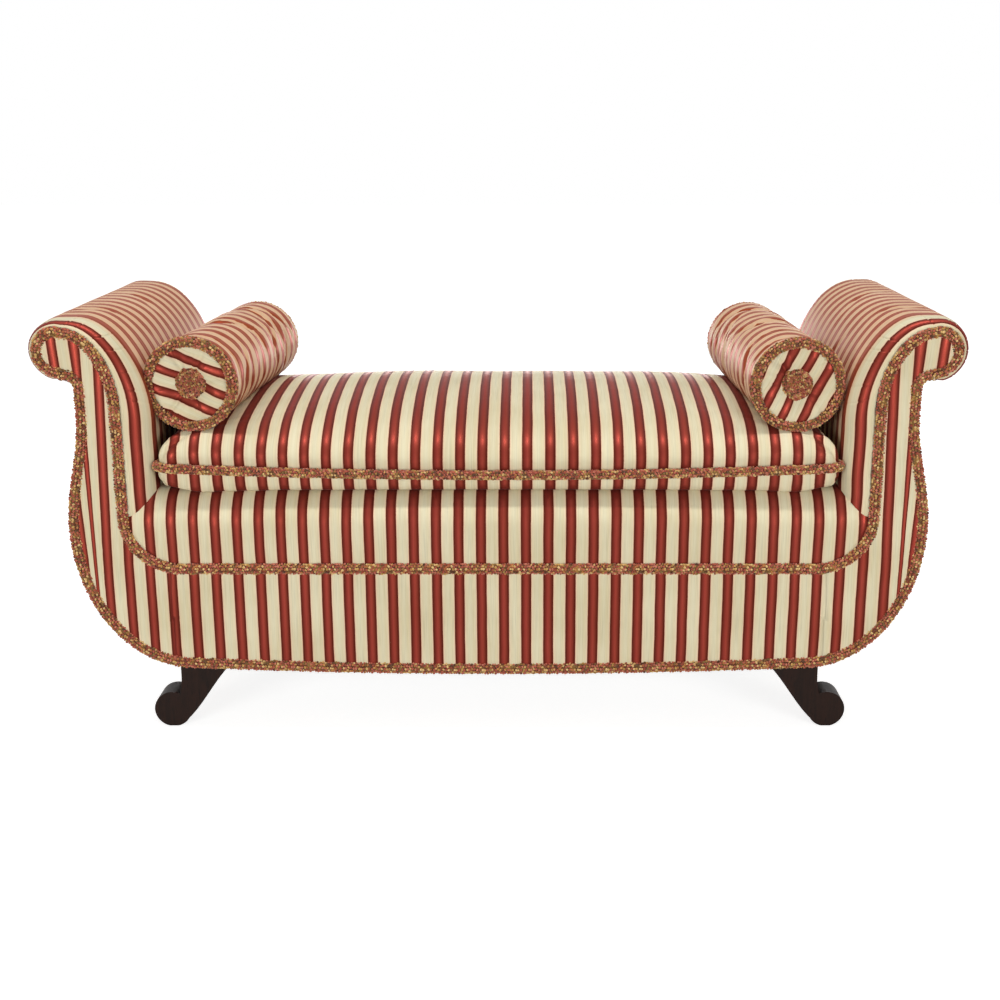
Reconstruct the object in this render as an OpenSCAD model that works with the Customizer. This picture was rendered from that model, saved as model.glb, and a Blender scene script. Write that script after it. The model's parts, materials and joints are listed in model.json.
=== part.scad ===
// Scroll-arm window bench with a loose seat cushion and two bolsters.
// X runs across the front, Y from the front to the back, Z up from the floor.

/* [Overall] */
// Width over both scroll heads
overall_w = 1580; // [1480:10:1700]
// Depth over the front and back facings
body_d = 600; // [560:10:660]
// Height of the arm tops above the floor
arm_top_z = 734; // [715:1:760]
// Height of the underside at the legs
body_z = 117; // [108:1:126]
// How far the rail's lower edge drops below that in the middle
rail_drop = 12; // [2:1:16]

/* [Arms] */
// Thickness of an arm, from the scroll head's outside to the seat side
arm_w = 193; // [185:1:202]
// Radius of the scroll head
head_r = 49.5; // [47:0.5:52]
// How far the neck stands in from the head's outside
neck_in = 74; // [70:1:78]
// How far the belly swells past the neck
belly_out = 28; // [18:1:34]
// How far over the underside the belly is widest
belly_rise = 258; // [238:1:278]
// How far under the arm's top the neck is narrowest
waist_drop = 159; // [149:1:174]
// Radius of the hollow under the scroll head
notch_r = 15; // [12:1:18]
// Reach of the round lower corner
corner_w = 200; // [185:1:215]
// Distance from the head's outside to the start of the arm's flat top
crest_in = 72; // [66:1:78]
// How far under its top the seat side of the arm turns upright
roll_drop = 184; // [169:1:199]

/* [Facings] */
// Width of the rounded edge between facing and seat side
edge_w = 45; // [40:1:50]
// Depth of that rounded edge
edge_d = 50; // [42:1:58]
// Width of the rounded edge on the arm's top
edge_top = 7; // [6:0.5:9]
// Width of the rounded edge on the scroll head
edge_head = 4.5; // [4:0.5:6]
// Distance from the head's outside to the crest of the facing's inner edge
seam_crest_in = 55; // [52:1:60]
// How far under the arm's top the facing's inner edge turns upright
seam_drop = 154; // [139:1:169]
// Radius of the facing's lower inner corner
seam_r = 86; // [78:1:92]
// Height of the seam along the front rail
lip_z = 310; // [300:1:320]
// Distance from the head's outside to the front panel's upright seam
panel_in = 215; // [210:1:225]
// Thickness of a cover with its wadding
cover_t = 3; // [2:0.5:3.5]
// Width of the looped trim
trim_w = 19; // [16:0.5:22]
// How far the trim stands proud
trim_t = 8; // [6:0.5:10]

/* [Frame] */
// Thickness of the arm boards and rails
board_t = 22; // [18:1:26]
// Depth of the boards' edge under the arm padding
board_in = 8; // [7:0.5:10]
// Height of the end rails
end_rail_h = 110; // [90:1:130]
// Height of the webbing cleats
cleat_h = 20; // [16:1:24]
// Width of a corner block
block_w = 60; // [54:1:66]
// Height of a corner block
block_h = 50; // [40:1:60]
// Width and height of the tack rails
tack_w = 20; // [16:1:24]
tack_h = 35; // [28:1:36]

/* [Legs] */
// Distance from the head's outside to the outer edge of the leg's top
leg_in = 220; // [214:1:226]
// Width of the leg's top
leg_top_w = 76; // [68:1:82]
// Thickness of a leg, front to back
leg_t = 50; // [44:1:56]
// How far the leg's face stands back from the facing
leg_back = 8; // [5:1:12]
// How far the scroll toe reaches past the leg's top
toe_out = 52; // [44:1:58]
// Radius of the scroll toe
toe_r = 33; // [30:1:35]
// Diameter of a leg bolt
bolt_d = 8; // [6:1:10]
// Length of a leg bolt
bolt_len = 64; // [56:1:70]

/* [Seat] */
// Height of the deck under the cushion
deck_z = 438; // [430:1:446]
// Radius of the deck's front and back edges
lip_round = 56; // [48:1:60]
// Width of the edge padding
edge_pad_w = 60; // [50:1:70]
// Width of a webbing strip
web_w = 50; // [44:1:56]
// Thickness of webbing
web_t = 2; // [1.5:0.5:2.5]
// Springs across the seat
spring_cols = 5; // [4:1:5]
// Largest radius of a spring
spring_r = 48; // [42:1:54]
// Waist radius of a spring
spring_waist_r = 30; // [26:1:36]
// Diameter of the spring wire
wire_d = 4.5; // [4:0.5:5.5]
// Turns of a spring
spring_turns = 3.5; // [3:0.5:4]
// Thickness of burlap
burlap_t = 1.5; // [1:0.5:2]

/* [Cushion] */
// Height of the cushion's crown above its edge
crown_h = 117; // [95:1:122]
// Height of the cushion's edge above the deck, in the middle
cushion_edge_h = 28; // [24:1:34]
// How much higher its edge lies at the arms
edge_bow = 13; // [6:1:16]
// How far the sides are drawn in between the corners
draw_in = 4; // [2:0.5:6]
// Radius of the cushion's corners
cushion_r = 34; // [26:1:44]
// Diameter of the cushion's trim
cord_d = 16; // [14:0.5:18]

/* [Bolsters] */
// Radius of a bolster
bolster_r = 78; // [74:1:80]
// Length of a bolster
bolster_len = 496; // [460:1:505]
// Radius of the trim at a bolster's ends
bolster_trim_r = 6; // [5:0.5:7]
// How far the trim stands out past the sleeve
bolster_trim_out = 5; // [4:0.5:6]
// Depth of the dimple in a bolster's end
dimple = 14; // [10:1:18]
// Diameter of the tufted button
button_d = 48; // [42:1:54]
// Thickness of the tufted button
button_t = 14; // [12:1:18]
// Turn of each bolster towards the middle at the back
bolster_turn = 2; // [0:0.5:3]

/* [Hidden] */
fit = 0.3;          // room between pieces that touch softly
bolt_fit = 0.1;     // room round a bolt
foot_flat = 1;      // depth of the flat under a toe
over = 2;           // overrun of cuts
arc_n = 10;         // steps of a quarter turn in a profile
fn_round = 64;

half_w = overall_w / 2;
half_d = body_d / 2;
waist_z = arm_top_z - waist_drop;
roll_z = arm_top_z - roll_drop;
seam_turn_z = arm_top_z - seam_drop;
belly_z = body_z + belly_rise;
inner_x = half_w - arm_w;
neck_x = half_w - neck_in;
belly_x = neck_x + belly_out;
head_x = half_w - head_r;
head_z = arm_top_z - head_r;
crest_x = half_w - crest_in;
corner_x = belly_x - corner_w;
face_x = inner_x + edge_w;
seam_crest_x = half_w - seam_crest_in;
panel_x = half_w - panel_in;
arm_low_z = lip_z + seam_r;
board_y = half_d - cover_t;                 // outer face of boards and rails
frame_y = board_y - board_t;                // inner face of boards and rails
leg_x = half_w - leg_in;
leg_y = half_d - leg_back;
toe_x = leg_x + toe_out - toe_r;
toe_z = toe_r - foot_flat;
dust_t = burlap_t;
cleat_z = body_z + dust_t;
web_z = cleat_z + cleat_h;
spring_z = web_z + 2 * web_t;
burlap_z = arm_low_z - burlap_t;

// Angle at which the hollow under the head meets the head
notch_dx = head_x - neck_x - notch_r;
notch_a = acos(notch_dx / (head_r + notch_r));
notch_z = head_z - (head_r + notch_r) * sin(notch_a);

wood = "#7a4526";
polished = "#4a1c12";
cream = "#e2d8bc";
red = "#9c3430";
linen = "#c9b48c";
wadding = "#f1ece0";
chenille = "#94603c";
steel = "#9a9ea3";

// Points on an ellipse, from angle a0 to a1
function arc(c, r, a0, a1, n) =
    [for (i = [0:n]) let (a = a0 + (a1 - a0) * i / n) c + [r.x * cos(a), r.y * sin(a)]];

// A cubic curve through its two ends
function curve(p, n) = [for (i = [0:n]) let (t = i / n, s = 1 - t)
    s * s * s * p[0] + 3 * s * s * t * p[1] + 3 * s * t * t * p[2] + t * t * t * p[3]];

function turned(list) = [for (i = [len(list) - 1:-1:0]) list[i]];

// The outside of an arm, from the middle of the underside to the hollow under the head, moved in by i
function outside_line(i) = concat(
    [for (k = [0:arc_n / 2 - 1]) let (s = 2 * k / arc_n)
        [corner_x * s, body_z + i - rail_drop * (1 - s * s)]],
    arc([corner_x, belly_z], [corner_w - i, belly_z - body_z - i], -90, 0, arc_n),
    [for (k = [1:arc_n / 2]) let (s = 2 * k / arc_n)
        [neck_x - i + belly_out * (1 + cos(180 * s)) / 2, belly_z + (waist_z - belly_z) * s]],
    arc([neck_x + notch_r, notch_z], [notch_r + i, notch_r + i], 180, notch_a, arc_n / 2));

// The roll of an arm, from the hollow round the head and down the seat side, moved in by i
function roll_line(i, start) = concat(
    arc([head_x, head_z], [head_r - i, head_r - i], start, 90, arc_n),
    arc([crest_x, roll_z], [crest_x - inner_x - i, arm_top_z - roll_z - i], 90, 180, arc_n),
    [[inner_x + i, arm_low_z]]);

// The facing's inner edge, point for point beside the roll, moved in by i
function seam_line(i, start) = concat(
    arc([head_x, head_z], [head_r - edge_head - i, head_r - edge_head - i], start, 90, arc_n),
    arc([seam_crest_x, seam_turn_z],
        [seam_crest_x - face_x - i, arm_top_z - edge_top - seam_turn_z - i], 90, 180, arc_n),
    [[face_x + i, arm_low_z]]);

head_start = notch_a - 180;

// The seam's round corner and its run along the rail
function lip_line(i) = concat(
    arc([face_x - seam_r, arm_low_z], [seam_r + i, seam_r + i], 0, -90, arc_n / 2),
    [[0, lip_z - i]]);

// One half of the flat face, moved in by o outside and by i inside
function face_half(o, i) = concat(outside_line(o), seam_line(i, head_start), lip_line(i));

// Both halves of an outline whose right half starts and ends in the middle
function both_sides(half) = concat(half,
    [for (k = [len(half) - 2:-1:1]) [-half[k].x, half[k].y]]);

module face(o, i) {
    polygon(both_sides(face_half(o, i)));
}

module along_y(y0, y1) {
    translate([0, y1, 0]) rotate([90, 0, 0]) linear_extrude(y1 - y0) children();
}

module along_x(x0, x1) {
    translate([x0, 0, 0]) rotate([90, 0, 90]) linear_extrude(x1 - x0) children();
}

// Draws a right-hand piece, or the same piece on the left
module on_side(left) {
    mirror([left ? 1 : 0, 0, 0]) children();
}

// Draws a front piece, or the same piece at the back
module at_end(back) {
    mirror([0, back ? 1 : 0, 0]) children();
}

module box(lo, hi) {
    translate(lo) cube(hi - lo);
}

// Rings of equal length joined into a closed solid
module loft(rings, closed = false) {
    n = len(rings[0]);
    m = len(rings);
    last = closed ? m - 1 : m - 2;
    sides = [for (r = [0:last]) for (k = [0:n - 1]) for (f = [0, 1])
        let (j = (k + 1) % n, q = (r + 1) % m, a = r * n + k, b = r * n + j, c = q * n + j, d = q * n + k)
        f == 0 ? [a, b, c] : [a, c, d]];
    // caps are strips between a ring's two halves, so that a bent band is capped as truly as a round one
    caps = closed ? [] : [for (k = [0:n / 2 - 2]) for (f = [0, 1]) for (end = [0, m - 1])
        let (t = f == 0 ? [k, k + 1, n - 2 - k] : [k, n - 2 - k, n - 1 - k])
        end == 0 ? turned(t) : [for (i = t) i + end * n]];
    polyhedron([for (r = rings) each r], concat(sides, caps));
}

module front_rail(back = false) {
    color(wood) at_end(back) along_y(-board_y, -frame_y) intersection() {
        face(cover_t + fit, board_in);
        translate([-panel_x, 0]) square([2 * panel_x, lip_z]);
    }
}

module arm_board(left, back) {
    color(wood) on_side(left) at_end(back) along_y(-board_y, -frame_y) intersection() {
        polygon(face_half(cover_t + fit, board_in));
        translate([panel_x, 0]) square([half_w - panel_x, arm_top_z]);
    }
}

module end_rail(left) {
    color(wood) on_side(left)
        box([panel_x - board_t, -frame_y, web_z], [panel_x, frame_y, web_z + end_rail_h]);
}

module centre_brace() {
    color(wood) box([-board_t / 2, -frame_y + board_t, cleat_z], [board_t / 2, frame_y - board_t, web_z]);
}

block_x0 = panel_x - board_t - block_w;

module seat_cleats() {
    color(wood) for (back = [false, true]) at_end(back)
        box([-block_x0, -frame_y, cleat_z], [block_x0, -frame_y + board_t, web_z]);
}

// How far a step of a profile dips under its arc
arc_dip = head_r * (1 - cos(90 / arc_n));

module scroll_rail(left) {
    color(wood) on_side(left) translate([head_x, frame_y, head_z]) rotate([90, 0, 0])
        cylinder(r = head_r - max(edge_head, edge_top) - board_in - arc_dip - fit, h = 2 * frame_y, $fn = fn_round);
}

neck_rail_x = neck_x - cover_t - fit;

module neck_rail(left) {
    color(wood) on_side(left)
        box([neck_rail_x - tack_w, -frame_y, waist_z], [neck_rail_x, frame_y, waist_z + tack_h]);
}

module tack_rail(left) {
    x0 = face_x + board_in + burlap_t + fit;
    color(wood) on_side(left)
        box([x0, -frame_y, arm_low_z], [x0 + tack_w, frame_y, arm_low_z + tack_h]);
}

module arm_posts(left) {
    post_w = 2 * board_t;
    color(wood) on_side(left) for (back = [false, true]) at_end(back)
        box([panel_x, -frame_y, web_z + board_t], [panel_x + post_w, -frame_y + post_w, lip_z - board_in - fit]);
}

bolt_x = leg_x - leg_top_w / 2;
bolt_y = (frame_y + leg_y - leg_t) / 2;
bolt_z = body_z - bolt_len / 2;

module corner_blocks() {
    color(wood) for (left = [false, true]) for (back = [false, true]) on_side(left) at_end(back)
    difference() {
        along_y(-frame_y, -frame_y + block_w) intersection() {
            face(cover_t + fit, board_in);
            translate([block_x0, 0]) square([block_w, body_z + block_h]);
        }
        translate([bolt_x, -bolt_y, 0])
            cylinder(d = bolt_d + 2 * bolt_fit, h = bolt_z + bolt_len + fit, $fn = fn_round);
    }
}

// The leg's foot point, its heel, the bend of its inner edge and its top, in shares of its own sizes
sabre_shares = [[0, 0], [0.38, 0], [0.78, 0.74], [1.13, 1]];

module leg(left, back) {
    heel = [for (s = sabre_shares) [toe_x - s.x * (leg_top_w + toe_out - toe_r), s.y * body_z]];
    blade = concat(curve(heel, arc_n),
        [[heel[3].x, body_z + board_t], [leg_x, body_z + board_t]],
        curve([[leg_x, body_z], [leg_x, body_z * 2 / 3], [leg_x, body_z * 2 / 3],
            [toe_x - toe_r / 3, toe_z + toe_r * 2 / 3]], arc_n / 2));
    color(polished) on_side(left) at_end(back) difference() {
        union() {
            along_y(-leg_y, -leg_y + leg_t) polygon(blade);
            along_y(-leg_y, -leg_y + leg_t) translate([toe_x, toe_z]) circle(toe_r, $fn = fn_round);
        }
        along_y(-leg_y - over, -leg_y + leg_t + over) face(cover_t + fit, board_in);
        box([0, -leg_y - over, -toe_r], [half_w, -leg_y + leg_t + over, 0]);
        translate([bolt_x, -bolt_y, bolt_z - fit])
            cylinder(d = bolt_d + 2 * bolt_fit, h = bolt_len, $fn = fn_round);
    }
}

module leg_bolts() {
    color(steel) for (left = [false, true]) for (back = [false, true]) on_side(left) at_end(back)
        translate([bolt_x, -bolt_y, bolt_z]) cylinder(d = bolt_d, h = bolt_len, $fn = fn_round);
}

// The dust cover runs between the legs and, at the ends, between the corner blocks
module dust_cover() {
    leg_x0 = toe_x - sabre_shares[3].x * (leg_top_w + toe_out - toe_r);
    x0 = min(leg_x0, block_x0) - fit;
    between_blocks = frame_y - block_w - fit;
    color("#2a2724") union() {
        box([-x0, -frame_y, body_z], [x0, frame_y, cleat_z]);
        box([-leg_x, -between_blocks, body_z], [leg_x, between_blocks, cleat_z]);
    }
}

spring_step = 2 * (panel_x - board_t) / spring_cols;
spring_y = frame_y / 2;

function spring_x(k) = (k - (spring_cols - 1) / 2) * spring_step;

module seat_webbing() {
    color(linen) {
        for (k = [0:spring_cols - 1])
            translate([spring_x(k), 0, 0]) box([-web_w / 2, -frame_y, web_z], [web_w / 2, frame_y, web_z + web_t]);
        for (s = [-1, 1])
            box([-panel_x + board_t, s * spring_y - web_w / 2, web_z + web_t],
                [panel_x - board_t, s * spring_y + web_w / 2, spring_z]);
    }
}

// A double-cone spring wound as one unbroken wire
curl_rings = 8;
wire_sides = 6;
spring_h = burlap_z - fit - spring_z;
spring_pitch = (spring_h - wire_d) / spring_turns;
echo(least_gap_between_turns = spring_pitch - wire_d);

function wire_ring(t) = let (
    a = 360 * spring_turns * t,
    r = spring_waist_r + (spring_r - spring_waist_r) * abs(2 * t - 1),
    z = wire_d / 2 + (spring_h - wire_d) * t)
    [for (k = [0:wire_sides - 1]) let (b = 360 * k / wire_sides, q = r + wire_d / 2 * cos(b))
        [q * cos(a), q * sin(a), z + wire_d / 2 * sin(b)]];

module seat_springs() {
    steps = curl_rings * spring_turns;
    wire = [for (i = [0:steps]) turned(wire_ring(i / steps))];
    color(steel) for (k = [0:spring_cols - 1]) for (s = [-1, 1])
        translate([spring_x(k), s * spring_y, spring_z]) loft(wire);
}

deck_x = inner_x - fit;

module seat_burlap() {
    reach = half_d - edge_pad_w - 2 * fit;
    color(linen) box([-deck_x, -reach, burlap_z], [deck_x, reach, arm_low_z]);
}

// The deck seen from the front, with its lower edge moved out by i
module deck_front(i) {
    polygon(both_sides(concat(turned(lip_line(i)), [[deck_x, arm_low_z], [deck_x, deck_z], [0, deck_z]])));
}

// The deck seen from the side, moved in by i
function deck_side(i) = concat(
    [[-half_d + i, lip_z - board_in]],
    arc([-half_d + lip_round, deck_z - lip_round], [lip_round - i, lip_round - i], 180, 90, arc_n / 2),
    arc([half_d - lip_round, deck_z - lip_round], [lip_round - i, lip_round - i], 90, 0, arc_n / 2),
    [[half_d - i, lip_z - board_in]]);

deck_reach = face_x + board_in;

module deck_cover() {
    color(cream) intersection() {
        along_x(-deck_reach, deck_reach) polygon(concat(deck_side(0), turned(deck_side(cover_t))));
        along_y(-half_d - over, half_d + over) deck_front(cover_t);
    }
}

module deck_pad() {
    color(wadding) intersection() {
        along_x(-deck_reach, deck_reach) difference() {
            polygon(deck_side(cover_t + fit));
            translate([-half_d + edge_pad_w + fit, 0])
                square([body_d - 2 * (edge_pad_w + fit), arm_low_z + fit]);
        }
        along_y(-half_d, half_d) deck_front(board_in - fit);
    }
}

// A strip under the arm padding, held between the boards
module arm_burlap(left) {
    color(linen) on_side(left) along_y(-frame_y, frame_y)
        polygon(concat(arm_edge(board_in), turned(arm_edge(board_in + burlap_t))));
}

burlap_a = 100;     // angle of the crest at which the burlap starts

function arm_edge(i) = concat(
    arc([seam_crest_x, seam_turn_z],
        [seam_crest_x - face_x - i, arm_top_z - edge_top - seam_turn_z - i], burlap_a, 180, arc_n),
    [[face_x + i, arm_low_z]]);

// The arm's skin at turn t of its rounded edge, moved in by i
function skin_line(t, i, start) = let (s = seam_line(i, start), r = roll_line(i, start))
    [for (k = [0:len(s) - 1]) s[k] + (r[k] - s[k]) * sin(t)];

function skin_y(t) = -half_d + edge_d * (1 - cos(t));

function lifted(line, y) = [for (p = line) [p.x, y, p.y]];

// Turns of the rounded edge, which the cover and the padding share
edge_n = 4;
function edge_turns(first) = [for (k = [first:edge_n]) 90 * k / edge_n];

// Rings from the front face, a few along the arm, then the same rings mirrored to the back
run_n = 4;
function end_to_end(front) = let (inner = front[len(front) - 1])
    concat(front,
        [for (k = [1:run_n - 1]) [for (p = inner) [p.x, p.y * (1 - 2 * k / run_n), p.z]]],
        [for (r = turned(front)) [for (p = r) [p.x, -p.y, p.z]]]);

cover_start = head_start + 1;
pad_start = head_start + 2;

module inside_arm_cover(left) {
    front = [for (t = edge_turns(0))
        lifted(concat(skin_line(t, 0, cover_start), turned(skin_line(t, cover_t, cover_start))), skin_y(t))];
    color(cream) on_side(left) loft(end_to_end(front));
}

module arm_pad(left) {
    base = turned(seam_line(board_in - fit, pad_start));
    front = [for (t = edge_turns(1))
        lifted(concat(skin_line(t, cover_t + fit, pad_start), base), skin_y(t))];
    color(wadding) on_side(left) loft(end_to_end(front));
}

module outside_arm_cover(left) {
    first = arc_n / 2 + 1;
    outer = outside_line(0);
    inner = outside_line(cover_t);
    last = len(outer) - 1;
    line = concat([for (k = [first:last]) outer[k]], [for (k = [last:-1:first]) inner[k]]);
    color(cream) on_side(left) along_y(-half_d, half_d) intersection() {
        polygon(line);
        translate([leg_x + fit, 0]) square([half_w, arm_top_z]);
    }
}

module arm_facing(left, back) {
    color(cream) on_side(left) at_end(back) along_y(-half_d, -board_y) intersection() {
        polygon(face_half(cover_t + fit, cover_t + fit));
        translate([panel_x + fit, 0]) square([half_w - panel_x, arm_top_z]);
    }
}

module panel(back) {
    color(red) at_end(back) along_y(-half_d, -board_y) intersection() {
        face(0, cover_t + fit);
        translate([-panel_x, 0]) square([2 * panel_x, lip_z]);
    }
}

module trim_loop(back) {
    color(chenille) at_end(back) along_y(-half_d - trim_t, -half_d) difference() {
        face(0, 0);
        face(trim_w, trim_w);
    }
}

cushion_a = inner_x - fit - cord_d - fit;     // half width of the cushion at its edge
cushion_b = half_d - cord_d - fit;            // half depth of the cushion at its edge
cushion_z = deck_z + fit;
straight_n = 4;

// The cushion's outline, moved out by i
function cushion_ring(i) = let (
    cx = cushion_a - cushion_r,
    cy = cushion_b - cushion_r,
    quarter = arc([cx, cy], [cushion_r + i, cushion_r + i], 0, 90, 3),
    side = [for (k = [1:straight_n * 2 - 1]) let (s = k / straight_n - 1)
        [-s * cx, cushion_b + i - draw_in * (1 - s * s)]],
    end = [for (k = [1:straight_n - 1]) let (s = 2 * k / straight_n - 1)
        [cushion_a + i - draw_in * (1 - s * s), s * cy]])
    concat(quarter, side,
        [for (p = turned(quarter)) [-p.x, p.y]], [for (p = turned(end)) [-p.x, p.y]],
        [for (p = quarter) [-p.x, -p.y]], [for (p = turned(side)) [p.x, -p.y]],
        [for (p = turned(quarter)) [p.x, -p.y]], end);

function edge_z(x) = cushion_z + cushion_edge_h + edge_bow * pow(x / cushion_a, 2);

full_x_share = 5;
full_y_share = 2.7;

function crown_z(x, y) = crown_h * (1 - pow(min(1, abs(x) / cushion_a), full_x_share))
    * (1 - pow(min(1, abs(y) / cushion_b), full_y_share));

top_shares = [1, 0.94, 0.86, 0.74, 0.58, 0.38, 0.16];
bottom_shares = [1, 0.985, 0.95, 0.5];
under_share = 24;   // how sharply the underside turns up to the edge

edge_draw = 1.5;    // how much further in than down the casing's inner edge lies
insert_share = 0.97;    // share of the casing's outline that the insert fills

// A ring of the cushion's top, at share s of the outline and i under the surface
function top_ring(s, i) = [for (p = cushion_ring(s == 1 ? -i * edge_draw : 0)) let (x = p.x * s, y = p.y * s)
    [x, y, edge_z(x) + (s == 1 ? 0 : crown_z(x, y) - i)]];

function bottom_ring(s, i) = [for (p = cushion_ring(s == 1 ? -i * edge_draw : 0)) let (x = p.x * s, y = p.y * s)
    [x, y, s == 1 ? edge_z(x) - i : (cushion_z + i + (edge_z(x) - cushion_z) * pow(s, under_share))]];

// Half of the casing: outer rings in to the middle, then inner rings back out
module casing(outer, inner) {
    n = len(outer[0]);
    m = len(outer);
    rings = concat(outer, turned(inner));
    points = [for (r = rings) each r];
    sides = [for (r = [0:2 * m - 1]) if (r != m - 1) for (k = [0:n - 1]) for (f = [0, 1])
        let (q = (r + 1) % (2 * m), j = (k + 1) % n, a = r * n + k, b = r * n + j, c = q * n + j, d = q * n + k)
        r < m ? (f == 0 ? [a, c, b] : [a, d, c]) : (f == 0 ? [a, d, b] : [d, c, b])];
    middles = [[for (k = [n - 1:-1:0]) (m - 1) * n + k], [for (k = [0:n - 1]) m * n + k]];
    polyhedron(points, concat(sides, middles));
}

seam_gap = fit / 2;

module cushion_top() {
    color(cream) translate([0, 0, seam_gap]) casing([for (s = top_shares) top_ring(s, 0)],
        [for (s = top_shares) top_ring(s, cover_t)]);
}

module cushion_bottom() {
    color(red) translate([0, 0, -seam_gap]) mirror([0, 0, 1]) casing(
        [for (s = bottom_shares) [for (p = bottom_ring(s, 0)) [p.x, p.y, -p.z]]],
        [for (s = bottom_shares) [for (p = bottom_ring(s, cover_t)) [p.x, p.y, -p.z]]]);
}

module cushion_insert() {
    inset = cover_t + 3 * fit;
    top = [for (s = top_shares) if (s < insert_share) top_ring(s, inset)];
    bottom = [for (s = bottom_shares) if (s < insert_share) bottom_ring(s, inset)];
    color(wadding) loft(concat(turned(bottom), top));
}

module cushion_trim() {
    line = cushion_ring(cord_d / 2 + fit);
    n = len(line);
    rings = [for (k = [0:n - 1]) let (
        p = line[k],
        d = line[(k + 1) % n] - line[(k + n - 1) % n],
        out = [d.y, -d.x] / norm(d))
        [for (j = [0:wire_sides - 1]) let (b = 360 * j / wire_sides, q = cord_d / 2 * cos(b))
            [p.x + out.x * q, p.y + out.y * q, edge_z(p.x) + cord_d / 2 * sin(b)]]];
    color(chenille) loft([for (r = rings) turned(r)], closed = true);
}

trim_reach = bolster_r + bolster_trim_out;
lean = (bolster_len / 2 + bolster_trim_r) * sin(bolster_turn);
round_shares = [for (k = [-arc_n:arc_n]) k / arc_n];

// Seat side of the arm at height z
function roll_x(z) = crest_x - (crest_x - inner_x)
    * sqrt(1 - pow(min(1, max(0, z - roll_z) / (arm_top_z - roll_z)), 2));

// Height at which a bolster at x lies on the cushion
function rest_z(x) = fit + max([for (u = round_shares)
    edge_z(x + u * bolster_r) + crown_z(x + u * bolster_r, 0) + bolster_r * sqrt(1 - u * u)]);

// Place at which a bolster at height z leans on the arm
function lean_x(z) = min([for (u = round_shares)
    roll_x(z + u * trim_reach) - trim_reach * sqrt(1 - u * u)]) - lean - fit;

// The bolster lies in the angle between the cushion and the arm
settle_steps = 6;
function settle(x, n) = n == 0 ? x : settle(lean_x(rest_z(x)), n - 1);
bolster_x = settle(inner_x - trim_reach, settle_steps);
bolster_z = rest_z(bolster_x);
echo(bolster_x = bolster_x, bolster_z = bolster_z);

module bolster_place(left) {
    on_side(left) translate([bolster_x, 0, bolster_z]) rotate([90, 0, bolster_turn]) children();
}

// Face of a bolster's end at radius r, with its dimple
function end_z(r) = bolster_len / 2 - dimple * (1 + cos(180 * min(1, r / bolster_r))) / 2;

function end_line(r0, r1, i) = [for (k = [0:arc_n]) let (r = r0 + (r1 - r0) * k / arc_n) [r, end_z(r) - i]];

module both_ends() {
    for (s = [0, 1]) mirror([0, 0, s]) children();
}

module bolster_sleeve(left) {
    color(cream) bolster_place(left) difference() {
        cylinder(r = bolster_r, h = bolster_len, center = true, $fn = fn_round);
        cylinder(r = bolster_r - cover_t, h = bolster_len + over, center = true, $fn = fn_round);
    }
}

disc_r = bolster_r - cover_t - fit;

module bolster_ends(left) {
    color(cream) bolster_place(left) both_ends() rotate_extrude($fn = fn_round)
        polygon(concat(end_line(0, disc_r, 0), turned(end_line(0, disc_r, cover_t))));
}

module bolster_core(left) {
    face = end_line(0, disc_r, cover_t + fit);
    color(wadding) bolster_place(left) rotate_extrude($fn = fn_round)
        polygon(concat(face, [for (p = turned(face)) [p.x, -p.y]]));
}

module bolster_trims(left) {
    out = trim_reach - bolster_trim_r;
    color(chenille) bolster_place(left) both_ends() rotate_extrude($fn = fn_round)
        translate([out, bolster_len / 2 + bolster_trim_r + fit]) circle(bolster_trim_r, $fn = fn_round / 2);
}

module bolster_buttons(left) {
    seat = end_z(button_d / 2) + fit;
    color(chenille) bolster_place(left) both_ends() rotate_extrude($fn = fn_round)
        polygon(concat([[0, seat]], arc([0, seat], [button_d / 2, button_t], 0, 90, arc_n)));
}

front_rail();
front_rail(true);  // back_rail
end_rail(true);  // left_end_rail
end_rail(false);  // right_end_rail
centre_brace();
seat_cleats();
arm_board(true, false);  // left_front_arm_board
arm_board(false, false);  // right_front_arm_board
arm_board(true, true);  // left_back_arm_board
arm_board(false, true);  // right_back_arm_board
scroll_rail(true);  // left_scroll_rail
scroll_rail(false);  // right_scroll_rail
neck_rail(true);  // left_neck_rail
neck_rail(false);  // right_neck_rail
tack_rail(true);  // left_tack_rail
tack_rail(false);  // right_tack_rail
arm_posts(true);  // left_arm_posts
arm_posts(false);  // right_arm_posts
corner_blocks();
leg(true, false);  // front_left_leg
leg(false, false);  // front_right_leg
leg(true, true);  // back_left_leg
leg(false, true);  // back_right_leg
leg_bolts();
seat_webbing();
seat_springs();
seat_burlap();
deck_pad();
deck_cover();
arm_burlap(true);  // left_arm_burlap
arm_burlap(false);  // right_arm_burlap
arm_pad(true);  // left_arm_pad
arm_pad(false);  // right_arm_pad
inside_arm_cover(true);  // left_inside_arm_cover
inside_arm_cover(false);  // right_inside_arm_cover
outside_arm_cover(true);  // left_outside_arm_cover
outside_arm_cover(false);  // right_outside_arm_cover
arm_facing(true, false);  // left_front_facing
arm_facing(false, false);  // right_front_facing
arm_facing(true, true);  // left_back_facing
arm_facing(false, true);  // right_back_facing
panel(false);  // front_panel
panel(true);  // back_panel
trim_loop(false);  // front_trim
trim_loop(true);  // back_trim
dust_cover();
cushion_top();
cushion_bottom();
cushion_insert();
cushion_trim();
bolster_sleeve(true);  // left_bolster_sleeve
bolster_ends(true);  // left_bolster_ends
bolster_core(true);  // left_bolster_core
bolster_trims(true);  // left_bolster_trims
bolster_buttons(true);  // left_bolster_buttons
bolster_sleeve(false);  // right_bolster_sleeve
bolster_ends(false);  // right_bolster_ends
bolster_core(false);  // right_bolster_core
bolster_trims(false);  // right_bolster_trims
bolster_buttons(false);  // right_bolster_buttons
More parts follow.
